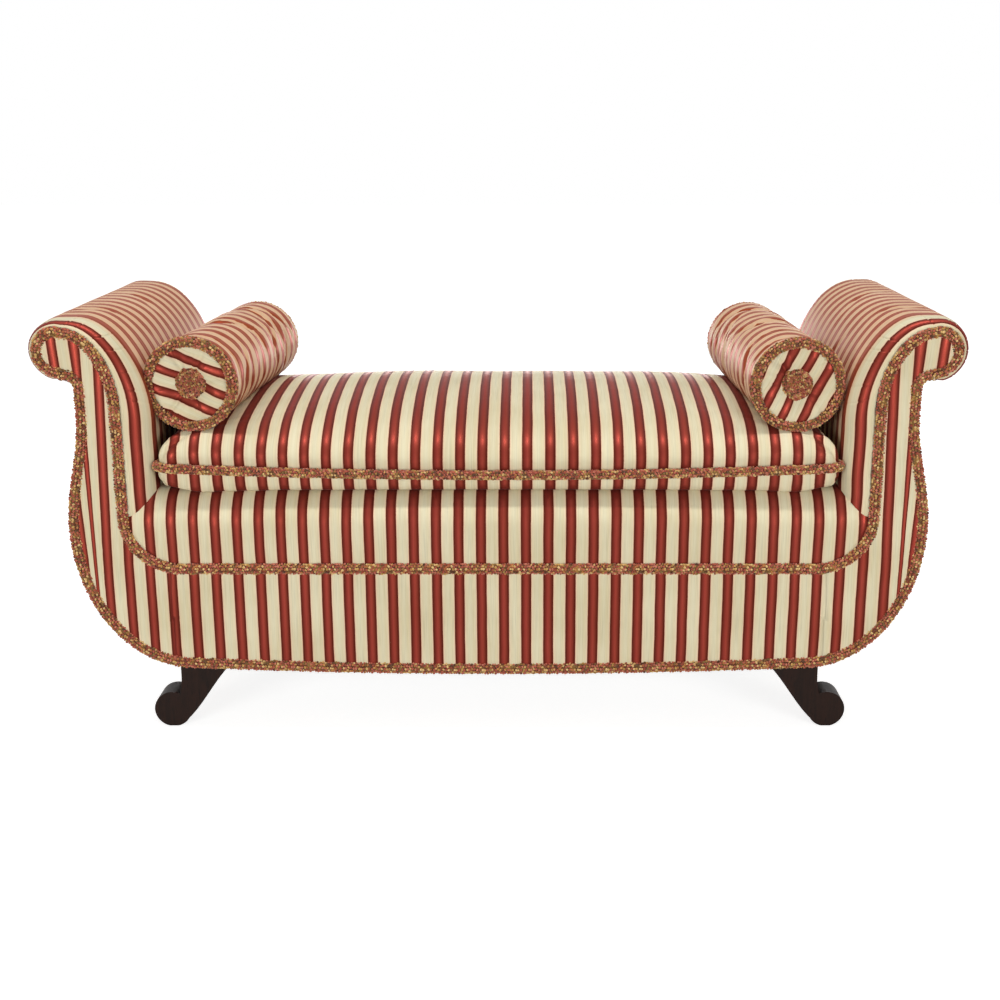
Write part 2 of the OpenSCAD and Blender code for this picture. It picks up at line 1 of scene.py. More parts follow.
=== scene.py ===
"""Looks for a scroll-arm window bench: striped satin, looped trim, polished sabre legs.

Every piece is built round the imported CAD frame, in metres, and rides on one of its bodies.
"""

from __future__ import annotations

import json
import logging
import math
import random
from collections.abc import Callable, Sequence
from dataclasses import dataclass
from enum import Enum
from typing import ClassVar

import bmesh
import bpy
from mathutils import Matrix, Vector, noise

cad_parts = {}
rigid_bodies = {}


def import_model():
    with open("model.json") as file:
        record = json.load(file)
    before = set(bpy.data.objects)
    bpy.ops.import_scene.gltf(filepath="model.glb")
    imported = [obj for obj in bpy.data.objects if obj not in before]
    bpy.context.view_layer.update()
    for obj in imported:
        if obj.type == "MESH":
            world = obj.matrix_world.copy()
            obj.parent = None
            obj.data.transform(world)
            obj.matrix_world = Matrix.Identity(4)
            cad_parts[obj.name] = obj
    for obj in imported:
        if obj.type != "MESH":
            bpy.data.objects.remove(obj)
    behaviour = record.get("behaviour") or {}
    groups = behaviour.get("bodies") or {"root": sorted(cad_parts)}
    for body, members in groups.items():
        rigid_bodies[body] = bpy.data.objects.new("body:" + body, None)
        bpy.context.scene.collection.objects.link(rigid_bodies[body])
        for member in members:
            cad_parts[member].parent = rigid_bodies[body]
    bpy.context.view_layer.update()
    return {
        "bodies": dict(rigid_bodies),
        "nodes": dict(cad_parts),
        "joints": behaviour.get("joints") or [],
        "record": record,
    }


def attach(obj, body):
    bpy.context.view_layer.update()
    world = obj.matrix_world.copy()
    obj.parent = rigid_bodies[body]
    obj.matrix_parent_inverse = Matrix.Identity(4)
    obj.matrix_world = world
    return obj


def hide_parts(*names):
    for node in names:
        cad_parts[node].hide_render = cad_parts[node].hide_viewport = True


LOG = logging.getLogger("bench")
MM = 0.001
CLOTH_UV = "cloth"
YARN = "yarn"
# painted sheen: marks where a satin cover gets a tan tint for grazing light
PAINTED_SHEEN = "stretch"
STRIPE = 38.95 * MM                # repeat of the woven stripe
SAME = 1e-5                        # points nearer than this are one point
GOLDEN_ANGLE = 2.399963            # in radians; tufts set by it lie evenly on a dome
Point = tuple[float, float]
Place = tuple[float, float, float]


class Side(Enum):
    """The two arms, by the sign of X."""

    LEFT = -1
    RIGHT = 1

    @property
    def word(self) -> str:
        """The side's name in CAD node names."""
        return self.name.lower()


class End(Enum):
    """The two long faces, by the sign of Y."""

    FRONT = -1
    BACK = 1

    @property
    def word(self) -> str:
        """The face's name in CAD node names."""
        return self.name.lower()


# ---------------------------------------------------------------- finishes


def linear(code: str) -> tuple[float, float, float, float]:
    """Turns an sRGB hex colour into a linear one.

    Args:
        code: Six hex digits after a hash.

    Returns:
        Red, green, blue and alpha for a shader socket.
    """
    parts = [int(code[i : i + 2], 16) / 255 for i in (1, 3, 5)]
    rgb = [c / 12.92 if c <= 0.04045 else ((c + 0.055) / 1.055) ** 2.4 for c in parts]
    return (rgb[0], rgb[1], rgb[2], 1.0)


def add_node(tree: bpy.types.NodeTree, kind: str, inputs: dict | None = None, **settings: object) -> bpy.types.Node:
    """Adds a node with its settings, values and links.

    Args:
        tree: Node tree that gets the node.
        kind: Blender's name of the node type.
        inputs: Value or linked output for each input socket, by name or number.
        **settings: Node properties; ramp is a list of (place, hex colour) stops.

    Returns:
        The new node.
    """
    node = tree.nodes.new(kind)
    ramp = settings.pop("ramp", None)
    for key, value in settings.items():
        setattr(node, key, value)
    if ramp:
        stops = node.color_ramp.elements
        while len(stops) < len(ramp):
            stops.new(0.5)
        for stop, (place, code) in zip(stops, ramp):
            stop.position = place
            stop.color = linear(code)
    for key, value in (inputs or {}).items():
        if isinstance(value, bpy.types.NodeSocket):
            tree.links.new(value, node.inputs[key])
        else:
            node.inputs[key].default_value = value
    return node


@dataclass(frozen=True)
class Finish:
    """A procedural material, made once and shared by its pieces."""

    name: str

    def material(self) -> bpy.types.Material:
        """Builds the material, or returns the one already built.

        Returns:
            The material.
        """
        made = bpy.data.materials.get(self.name)
        if made:
            return made
        made = bpy.data.materials.new(self.name)
        made.use_nodes = True
        self.shade(made.node_tree, made.node_tree.nodes["Principled BSDF"])
        return made

    def shade(self, tree: bpy.types.NodeTree, shader: bpy.types.Node) -> None:
        """Adds the finish's nodes to a new material.

        Args:
            tree: The material's node tree.
            shader: Its Principled BSDF.
        """
        raise NotImplementedError


@dataclass(frozen=True)
class StripedSatin(Finish):
    """Woven satin stripe: warp threads lie side by side, so red bands shine in their own colour."""

    stripe: float = STRIPE
    thread: float = 1.3 * MM           # real warp is 0.2 mm; drawn coarser so that it shows
    slub: float = 60.0                 # length of a thick place in a thread, in threads
    thick: float = 0.25 * MM           # how far the threads stand up
    waver: float = 1.6 * MM            # how far the threads wander sideways
    wander: float = 71.43 * MM         # over what length they do
    handled: float = 142.9 * MM        # size of the patches that handling has dulled
    undulation: float = 45 * MM        # size of the soft swells in stuffed cloth
    swell: float = 2.5 * MM            # their depth
    filling: float = 0.38              # strength of the painted sheen: a tan tint on roll tops and sleeves

    def shade(self, tree: bpy.types.NodeTree, shader: bpy.types.Node) -> None:
        """Draws the stripes across the cloth map's U and the threads along its V.

        Args:
            tree: The material's node tree.
            shader: Its Principled BSDF.
        """
        cloth = add_node(tree, "ShaderNodeUVMap", uv_map=CLOTH_UV)
        axes = add_node(tree, "ShaderNodeSeparateXYZ", {0: cloth.outputs[0]})
        # threads waver by a fraction of a millimetre, so a stripe's edge is never quite straight
        slow = add_node(tree, "ShaderNodeTexNoise", {"Vector": cloth.outputs[0], "Scale": 1 / self.wander,
                                                     "Detail": 1.0})
        waver = add_node(tree, "ShaderNodeMath", {0: slow.outputs[0], 1: self.waver, 2: -self.waver / 2},
                         operation="MULTIPLY_ADD")
        across = add_node(tree, "ShaderNodeMath", {0: axes.outputs[0], 1: waver.outputs[0]})
        turn = add_node(tree, "ShaderNodeMath", {0: across.outputs[0], 1: 1 / self.stripe, 2: 0.5},
                        operation="MULTIPLY_ADD")
        place = add_node(tree, "ShaderNodeMath", {0: turn.outputs[0]}, operation="FRACT")
        colour = add_node(tree, "ShaderNodeValToRGB", {0: place.outputs[0]}, ramp=[
            (0.0, "#d2cbae"), (0.12, "#d1c6a4"), (0.235, "#d8c7a8"), (0.262, "#dfb498"), (0.277, "#884534"),
            (0.288, "#4a180f"), (0.325, "#551f16"), (0.37, "#6b271f"), (0.43, "#803028"), (0.50, "#8b382e"),
            (0.57, "#813428"), (0.63, "#69261d"), (0.675, "#521d14"), (0.712, "#45150d"), (0.723, "#884534"),
            (0.738, "#dfb498"), (0.765, "#d7c5a6"), (0.86, "#d2c8a8"), (1.0, "#d2cbae")])
        # long fine slubs along the threads
        stretched = add_node(tree, "ShaderNodeMapping", {"Vector": cloth.outputs[0],
                             "Scale": (1 / self.thread, 1 / (self.slub * self.thread), 1.0)})
        slub = add_node(tree, "ShaderNodeTexNoise", {"Vector": stretched.outputs[0], "Scale": 1.0, "Detail": 2.0})
        slub_tone = add_node(tree, "ShaderNodeValToRGB", {0: slub.outputs[0]},
                             ramp=[(0.3, "#d9d9d9"), (0.55, "#ffffff"), (0.75, "#e9e9e9")])
        woven = add_node(tree, "ShaderNodeMix", {0: 0.55, 6: colour.outputs[0], 7: slub_tone.outputs[0]},
                         data_type="RGBA", blend_type="MULTIPLY")
        handled = add_node(tree, "ShaderNodeTexNoise", {"Vector": cloth.outputs[0], "Scale": 1 / self.handled,
                                                        "Detail": 3.0})
        hand_tone = add_node(tree, "ShaderNodeValToRGB", {0: handled.outputs[0]},
                             ramp=[(0.35, "#e8e4d8"), (0.6, "#ffffff")])
        worn = add_node(tree, "ShaderNodeMix", {0: 0.5, 6: woven.outputs[2], 7: hand_tone.outputs[0]},
                        data_type="RGBA", blend_type="MULTIPLY")
        # 1 inside a red band, 0 in the cream
        band = add_node(tree, "ShaderNodeValToRGB", {0: place.outputs[0]}, ramp=[
            (0.27, "#000000"), (0.34, "#808080"), (0.5, "#ffffff"), (0.66, "#808080"), (0.73, "#000000")])
        # painted sheen: a tan tint stands in for the satin's glow in grazing light over roll tops and sleeves,
        # strongest in the cream bands
        sheen_by_band = add_node(tree, "ShaderNodeMath", {0: band.outputs[0], 1: -0.6, 2: 1.0}, operation="MULTIPLY_ADD")
        drawn = add_node(tree, "ShaderNodeAttribute", attribute_name=PAINTED_SHEEN)
        share = add_node(tree, "ShaderNodeMath", {0: drawn.outputs["Fac"], 1: self.filling}, operation="MULTIPLY")
        painted_sheen_weight = add_node(tree, "ShaderNodeMath", {0: share.outputs[0], 1: sheen_by_band.outputs[0]}, operation="MULTIPLY")
        sheen_painted_colour = add_node(tree, "ShaderNodeMix", {0: painted_sheen_weight.outputs[0], 6: worn.outputs[2], 7: linear("#c86a34")},
                          data_type="RGBA")
        tree.links.new(sheen_painted_colour.outputs[2], shader.inputs["Base Color"])
        shader.inputs["Specular Tint"].default_value = linear("#dc9c88")
        # floating red warp catches the light, cream bands are woven closer and stay matt
        shine = add_node(tree, "ShaderNodeMath", {0: band.outputs[0], 1: 0.56}, operation="MULTIPLY")
        tree.links.new(shine.outputs[0], shader.inputs["Metallic"])
        rough = add_node(tree, "ShaderNodeMath", {0: band.outputs[0], 1: -0.20, 2: 0.54}, operation="MULTIPLY_ADD")
        tree.links.new(rough.outputs[0], shader.inputs["Roughness"])
        shader.inputs["Specular IOR Level"].default_value = 0.16
        shader.inputs["Sheen Weight"].default_value = 0.02
        shader.inputs["Sheen Roughness"].default_value = 0.4
        ribs = add_node(tree, "ShaderNodeBump", {"Height": slub.outputs[0], "Strength": 0.25,
                                                 "Distance": self.thick})
        easing = add_node(tree, "ShaderNodeTexNoise", {"Vector": cloth.outputs[0], "Scale": 1 / self.undulation,
                                                       "Detail": 2.0})
        eased = add_node(tree, "ShaderNodeBump", {"Height": easing.outputs[0], "Strength": 0.25,
                                                  "Distance": self.swell, "Normal": ribs.outputs[0]})
        tree.links.new(eased.outputs[0], shader.inputs["Normal"])


@dataclass(frozen=True)
class LoopedChenille(Finish):
    """Looped chenille yarn in brick red, gold and olive: matt, downy, each loop one colour."""

    patch: float = 18.18 * MM          # length over which one yarn prevails
    pile: float = 1.111 * MM           # the pile's tufting; real pile is finer
    nap: float = 0.5 * MM              # how far the pile stands up

    def shade(self, tree: bpy.types.NodeTree, shader: bpy.types.Node) -> None:
        """Colours each loop from its own yarn number.

        Args:
            tree: The material's node tree.
            shader: Its Principled BSDF.
        """
        yarn = add_node(tree, "ShaderNodeAttribute", attribute_name=YARN)
        place = add_node(tree, "ShaderNodeTexCoord")
        patch = add_node(tree, "ShaderNodeTexNoise", {"Vector": place.outputs["Object"], "Scale": 1 / self.patch,
                                                      "Detail": 1.0})
        drift = add_node(tree, "ShaderNodeMath", {0: patch.outputs[0], 1: 0.5, 2: -0.25}, operation="MULTIPLY_ADD")
        number = add_node(tree, "ShaderNodeMath", {0: yarn.outputs["Fac"], 1: drift.outputs[0]})
        turn = add_node(tree, "ShaderNodeMath", {0: number.outputs[0]}, operation="FRACT")
        colour = add_node(tree, "ShaderNodeValToRGB", {0: turn.outputs[0]}, ramp=[
            (0.0, "#923e2c"), (0.12, "#b05a44"), (0.24, "#c87a60"), (0.34, "#94482e"), (0.44, "#502a16"),
            (0.54, "#876430"), (0.64, "#ba8e4a"), (0.76, "#dcba7e"), (0.86, "#b67a3e"), (1.0, "#923e2c")])
        down = add_node(tree, "ShaderNodeTexNoise", {"Vector": place.outputs["Object"], "Scale": 1 / self.pile,
                                                     "Detail": 2.0})
        tone = add_node(tree, "ShaderNodeValToRGB", {0: down.outputs[0]}, ramp=[(0.3, "#c8bcae"), (0.65, "#ffffff")])
        downy = add_node(tree, "ShaderNodeMix", {0: 0.6, 6: colour.outputs[0], 7: tone.outputs[0]},
                         data_type="RGBA", blend_type="MULTIPLY")
        tree.links.new(downy.outputs[2], shader.inputs["Base Color"])
        shader.inputs["Roughness"].default_value = 0.85
        shader.inputs["Specular IOR Level"].default_value = 0.2
        shader.inputs["Sheen Weight"].default_value = 0.25
        shader.inputs["Sheen Roughness"].default_value = 0.5
        fuzz = add_node(tree, "ShaderNodeBump", {"Height": down.outputs[0], "Strength": 0.5, "Distance": self.nap})
        tree.links.new(fuzz.outputs[0], shader.inputs["Normal"])


@dataclass(frozen=True)
class Timber(Finish):
    """Wood with its grain along one axis: planed beech looks dull, French-polished mahogany has a soft gleam."""

    early: str = "#c89b66"
    late: str = "#a87645"
    pore: str = "#8a5c34"
    grain: Place = (260.0, 260.0, 14.0)    # grain lines about 4 mm apart and 70 mm long
    rough: float = 0.55
    shine: float = 0.35
    dent: float = 0.3 * MM             # depth of an open pore

    def shade(self, tree: bpy.types.NodeTree, shader: bpy.types.Node) -> None:
        """Draws growth bands and short pores along the grain.

        Args:
            tree: The material's node tree.
            shader: Its Principled BSDF.
        """
        place = add_node(tree, "ShaderNodeTexCoord")
        run = add_node(tree, "ShaderNodeMapping", {"Vector": place.outputs["Object"], "Scale": self.grain})
        bands = add_node(tree, "ShaderNodeTexNoise", {"Vector": run.outputs[0], "Scale": 0.35, "Detail": 4.0,
                                                      "Distortion": 0.6})
        colour = add_node(tree, "ShaderNodeValToRGB", {0: bands.outputs[0]},
                          ramp=[(0.32, self.late), (0.5, self.early), (0.68, self.late)])
        pores = add_node(tree, "ShaderNodeTexNoise", {"Vector": run.outputs[0], "Scale": 3.2, "Detail": 2.0})
        spots = add_node(tree, "ShaderNodeValToRGB", {0: pores.outputs[0]}, ramp=[(0.58, "#000000"), (0.7, "#ffffff")])
        grained = add_node(tree, "ShaderNodeMix", {0: spots.outputs[0], 6: colour.outputs[0], 7: linear(self.pore)},
                           data_type="RGBA")
        tree.links.new(grained.outputs[2], shader.inputs["Base Color"])
        wear = add_node(tree, "ShaderNodeMath", {0: bands.outputs[0], 1: 0.25, 2: self.rough - 0.12},
                        operation="MULTIPLY_ADD")
        tree.links.new(wear.outputs[0], shader.inputs["Roughness"])
        shader.inputs["Specular IOR Level"].default_value = self.shine
        dents = add_node(tree, "ShaderNodeBump", {"Height": pores.outputs[0], "Strength": 0.15,
                                                  "Distance": self.dent})
        tree.links.new(dents.outputs[0], shader.inputs["Normal"])


@dataclass(frozen=True)
class PlainWeave(Finish):
    """Open plain weave or felted web, from jute burlap to black cambric: dull and flecked by its crossing threads."""

    light: str = "#c8b084"
    dark: str = "#8d744a"
    thread: float = 3.0 * MM           # real burlap has 2 mm; drawn coarser so that it shows
    rough: float = 0.9
    fleck: float = 5.556 * MM          # size of its thicker and thinner places
    stand: float = 0.4 * MM            # how far a crossing thread stands up

    def shade(self, tree: bpy.types.NodeTree, shader: bpy.types.Node) -> None:
        """Crosses two sets of threads and varies their tone.

        Args:
            tree: The material's node tree.
            shader: Its Principled BSDF.
        """
        place = add_node(tree, "ShaderNodeTexCoord")
        weave = add_node(tree, "ShaderNodeTexChecker", {"Vector": place.outputs["Object"], "Scale": 1 / self.thread,
                         "Color1": linear(self.light), "Color2": linear(self.dark)})
        uneven = add_node(tree, "ShaderNodeTexNoise", {"Vector": place.outputs["Object"], "Scale": 1 / self.fleck,
                                                       "Detail": 3.0})
        tone = add_node(tree, "ShaderNodeValToRGB", {0: uneven.outputs[0]}, ramp=[(0.3, "#a0a0a0"), (0.7, "#ffffff")])
        spun = add_node(tree, "ShaderNodeMix", {0: 0.7, 6: weave.outputs[0], 7: tone.outputs[0]},
                        data_type="RGBA", blend_type="MULTIPLY")
        tree.links.new(spun.outputs[2], shader.inputs["Base Color"])
        shader.inputs["Roughness"].default_value = self.rough
        bumps = add_node(tree, "ShaderNodeBump", {"Height": weave.outputs[1], "Strength": 0.4, "Distance": self.stand})
        tree.links.new(bumps.outputs[0], shader.inputs["Normal"])


@dataclass(frozen=True)
class DrawnSteel(Finish):
    """Drawn spring wire: grey, slightly brown where the oil has dried."""

    stain: float = 16.67 * MM          # size of the oil stains

    def shade(self, tree: bpy.types.NodeTree, shader: bpy.types.Node) -> None:
        """Stains bright wire with dried oil.

        Args:
            tree: The material's node tree.
            shader: Its Principled BSDF.
        """
        place = add_node(tree, "ShaderNodeTexCoord")
        oil = add_node(tree, "ShaderNodeTexNoise", {"Vector": place.outputs["Object"], "Scale": 1 / self.stain,
                                                    "Detail": 4.0})
        colour = add_node(tree, "ShaderNodeValToRGB", {0: oil.outputs[0]},
                          ramp=[(0.35, "#8f8a80"), (0.6, "#b4b3b0"), (0.75, "#a3988a")])
        tree.links.new(colour.outputs[0], shader.inputs["Base Color"])
        dull = add_node(tree, "ShaderNodeMath", {0: oil.outputs[0], 1: 0.3, 2: 0.25}, operation="MULTIPLY_ADD")
        tree.links.new(dull.outputs[0], shader.inputs["Roughness"])
        shader.inputs["Metallic"].default_value = 1.0


SATIN = StripedSatin("satin_stripe_woven")
CHENILLE = LoopedChenille("chenille_looped")
MAHOGANY = Timber("mahogany_french_polished", "#1f0f08", "#160a05", "#0c0503", (240.0, 240.0, 22.0), 0.45, 0.11)
BEECH = Timber("beech_planed")
JUTE = PlainWeave("jute_burlap")
CAMBRIC = PlainWeave("cambric_black", "#33302d", "#211f1d", 1.6 * MM, 0.85)
STEEL = DrawnSteel("steel_spring_wire")


# ---------------------------------------------------------------- shared shapes


def arc(centre: Point, radii: Point, start: float, stop: float, steps: int) -> list[Point]:
    """Points on an ellipse.

    Args:
        centre: Middle of the ellipse.
        radii: Its two half axes.
        start: First angle in degrees.
        stop: Last angle in degrees.
        steps: Number of steps between them.

    Returns:
        steps + 1 points.
    """
    angles = [math.radians(start + (stop - start) * k / steps) for k in range(steps + 1)]
    return [(centre[0] + radii[0] * math.cos(a), centre[1] + radii[1] * math.sin(a)) for a in angles]


class Track:
    """A polyline that is read by its length."""

    def __init__(self, points: Sequence[Point]) -> None:
        """Measures the line.

        Args:
            points: Its corners.
        """
        self.points = [Vector((*p, 0.0)) if len(p) == 2 else Vector(p) for p in points]
        self.marks = [0.0]
        for a, b in zip(self.points, self.points[1:]):
            self.marks.append(self.marks[-1] + (b - a).length)

    @property
    def length(self) -> float:
        """Length of the whole line."""
        return self.marks[-1]

    def at(self, distance: float) -> Vector:
        """Reads the point at a distance from the start.

        Args:
            distance: Length along the line.

        Returns:
            The point there.
        """
        d = min(max(distance, 0.0), self.length)
        low, high = 0, len(self.marks) - 1
        while high - low > 1:
            middle = (low + high) // 2
            if self.marks[middle] <= d:
                low = middle
            else:
                high = middle
        span = self.marks[high] - self.marks[low]
        return self.points[low].lerp(self.points[high], (d - self.marks[low]) / span if span > 1e-12 else 0.0)


def ease(value: float, start: float = 0.0, stop: float = 1.0) -> float:
    """Eases from 0 to 1 while a value goes from start to stop."""
    v = min(max((value - start) / (stop - start), 0.0), 1.0)
    return v * v * (3 - 2 * v)


def bell(value: float, width: float) -> float:
    """Reads a soft bell, 1 at zero and fading over a width."""
    return math.exp(-((value / width) ** 2))


def ripple(*place: float) -> float:
    """Reads a field of soft swells, -1 to 1, each about one unit long."""
    return noise.noise(Vector(place))


def lay_cloth(bm: bmesh.types.BMesh, tell: Callable[[Vector], Point]) -> None:
    """Writes the cloth map of a cover from where its points lie.

    Args:
        bm: The cover.
        tell: Gives the place across the stripes and along them, in metres, for a point.
    """
    layer = bm.loops.layers.uv.get(CLOTH_UV) or bm.loops.layers.uv.new(CLOTH_UV)
    for face in bm.faces:
        for loop in face.loops:
            loop[layer].uv = tell(loop.vert.co)


def mapped_grid(columns: int, rows: int, place: Callable[[float, float], Vector],
                cloth: Callable[[float, float], Point] = lambda u, v: (0.0, 0.0)) -> bmesh.types.BMesh:
    """Bends a flat grid into a surface and keeps the cloth's own coordinates on it.

    Args:
        columns: Faces along the first parameter.
        rows: Faces along the second parameter.
        place: Gives the point for two parameters from 0 to 1.
        cloth: Gives the cloth map in metres for the same parameters; left out where lay_cloth writes it later.

    Returns:
        The bent grid.
    """
    bm = bmesh.new()
    bmesh.ops.create_grid(bm, x_segments=columns, y_segments=rows, size=0.5)
    lay_cloth(bm, lambda co: cloth(co.x + 0.5, co.y + 0.5))
    for vert in bm.verts:
        vert.co = place(vert.co.x + 0.5, vert.co.y + 0.5)
    return bm


def face_towards(bm: bmesh.types.BMesh, outward: Place) -> None:
    """Turns an open cover's faces to the outside.

    Args:
        bm: The cover.
        outward: Direction in which its furthest face has to look.
    """
    look = Vector(outward)
    bmesh.ops.recalc_face_normals(bm, faces=bm.faces)
    if max(bm.faces, key=lambda f: f.calc_center_median().dot(look)).normal.dot(look) < 0:
        bmesh.ops.reverse_faces(bm, faces=bm.faces)


def mark_stretch(bm: bmesh.types.BMesh, tell: Callable[[Vector], float]) -> None:
    """Marks where a cover gets the painted sheen, a tan tint that stands in for grazing light on the satin.

    Args:
        bm: The cover.
        tell: Gives 0 to 1 for a point.
    """
    layer = bm.verts.layers.float.new(PAINTED_SHEEN)
    for vert in bm.verts:
        vert[layer] = tell(vert.co)


def join(parts: Sequence[bmesh.types.BMesh]) -> bmesh.types.BMesh:
    """Joins meshes into the first one.

    Args:
        parts: Meshes with the same layers; all but the first are freed.

    Returns:
        The first mesh, with the others in it.
    """
    whole = parts[0]
    for part in parts[1:]:
        store = bpy.data.meshes.new("part")
        part.to_mesh(store)
        whole.from_mesh(store)
        part.free()
        bpy.data.meshes.remove(store)
    return whole


def finished(name: str, bm: bmesh.types.BMesh, finish: Finish, closed: bool = True,
             seam: float = SAME) -> bpy.types.Object:
    """Merges doubles, turns faces outwards and makes the object.

    Args:
        name: Name of the piece.
        bm: Its mesh, which is freed.
        finish: Its finish.
        closed: Whether to recalculate the normals of a closed shape.
        seam: Distance under which points are merged.

    Returns:
        The smooth-shaded object, at the origin.
    """
    if seam > 0:
        bmesh.ops.remove_doubles(bm, verts=bm.verts, dist=seam)
    if closed:
        bmesh.ops.recalc_face_normals(bm, faces=bm.faces)
    for face in bm.faces:
        face.smooth = True
    mesh = bpy.data.meshes.new(name)
    bm.to_mesh(mesh)
    bm.free()
    mesh.materials.append(finish.material())
    obj = bpy.data.objects.new(name, mesh)
    bpy.context.scene.collection.objects.link(obj)
    LOG.info("made %s: %d faces", name, len(mesh.polygons))
    return obj


def skin_of(name: str, bm: bmesh.types.BMesh, thickness: float) -> bpy.types.Object:
    """Makes an open cover of striped satin and gives it its thickness on the inner side.

    Args:
        name: Name of the piece.
        bm: Its outer face, which is freed.
        thickness: Thickness of cloth and wadding.

    Returns:
        The cover.
    """
    obj = finished(name, bm, SATIN, closed=False)
    wall = obj.modifiers.new("thickness", "SOLIDIFY")
    wall.thickness = thickness
    wall.offset = -1.0
    return obj


@dataclass(frozen=True)
class Fold:
    """A slack fold in a cover: it takes up cloth, so the stripes beside it draw together."""

    along: float           # where it lies along the piece, in metres
    around: float          # where it lies round the piece, 0 to 1
    reach: float           # how far round it fades
    slope: float           # how it leans, in metres per turn
    hidden: float          # cloth that it takes up, in metres
    pull_w: float = 0.012          # over what width it draws the stripes together
    crease_w: float = 0.0065
    ridge: tuple[float, float, float] = (0.4, 0.014, 0.010)    # height, distance and width of the ridge beside it

    def read(self, along: float, around: float) -> tuple[float, float]:
        """Reads the fold at a place on the cover.

        Args:
            along: Place along the piece, in metres.
            around: Place round the piece, 0 to 1.

        Returns:
            The cloth's shift along the piece in metres, and how deep in the fold the place lies, 0 to 1.
        """
        gap = (around - self.around + 0.5) % 1.0 - 0.5
        fade = bell(gap, self.reach)
        off = along - self.along - self.slope * gap
        height, distance, width = self.ridge
        depth = bell(off, self.crease_w) - height * bell(off - distance, width)
        return fade * self.hidden / 2 * math.tanh(off / self.pull_w), fade * depth


SETTLE_FRAMES = 20                 # enough for the casings to come to rest


def settle(obj: bpy.types.Object, held: Callable[[Vector], bool], cap: float, larger: float) -> None:
    """Lets a stuffed casing find its folds in Blender's cloth, and keeps the result as plain mesh.

    Args:
        obj: The casing, before it rides on anything.
        held: Tells whether a point is sewn down.
        cap: How far any point may move.
        larger: Share by which the cloth is cut larger than the stuffing inside it.
    """
    mesh = obj.data
    start = [v.co.copy() for v in mesh.vertices]
    seam = obj.vertex_groups.new(name="seam")
    seam.add([k for k, co in enumerate(start) if held(co)], 1.0, "REPLACE")
    cloth = obj.modifiers.new("cloth", "CLOTH")
    rules = cloth.settings
    rules.quality = 5
    rules.mass = 0.25
    rules.use_pressure = True
    rules.uniform_pressure_force = 4.0
    rules.vertex_group_mass = seam.name
    rules.shrink_min = -larger
    rules.bending_stiffness = 0.2
    rules.effector_weights.gravity = 0.0
    scene = bpy.context.scene
    for frame in range(1, SETTLE_FRAMES + 1):
        scene.frame_set(frame)
    found = obj.evaluated_get(bpy.context.evaluated_depsgraph_get()).data
    moved = [v.co - co for v, co in zip(found.vertices, start)]
    obj.modifiers.remove(cloth)
    obj.vertex_groups.remove(seam)
    for vert, co, move in zip(mesh.vertices, start, moved):
        vert.co = co + (move * (cap / move.length) if move.length > cap else move)
    scene.frame_set(1)
    LOG.info("settled %s: most %.1f mm", obj.name, max(m.length for m in moved) / MM)


def place_piece(obj: bpy.types.Object, body: str, nodes: Sequence[str]) -> None:
    """Says what a piece rides on and what it replaces.

    Args:
        obj: The piece.
        body: CAD body that it moves with.
        nodes: CAD nodes that it stands for.
    """
    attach(obj, body)
    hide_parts(*nodes)


# ---------------------------------------------------------------- the arm's outline


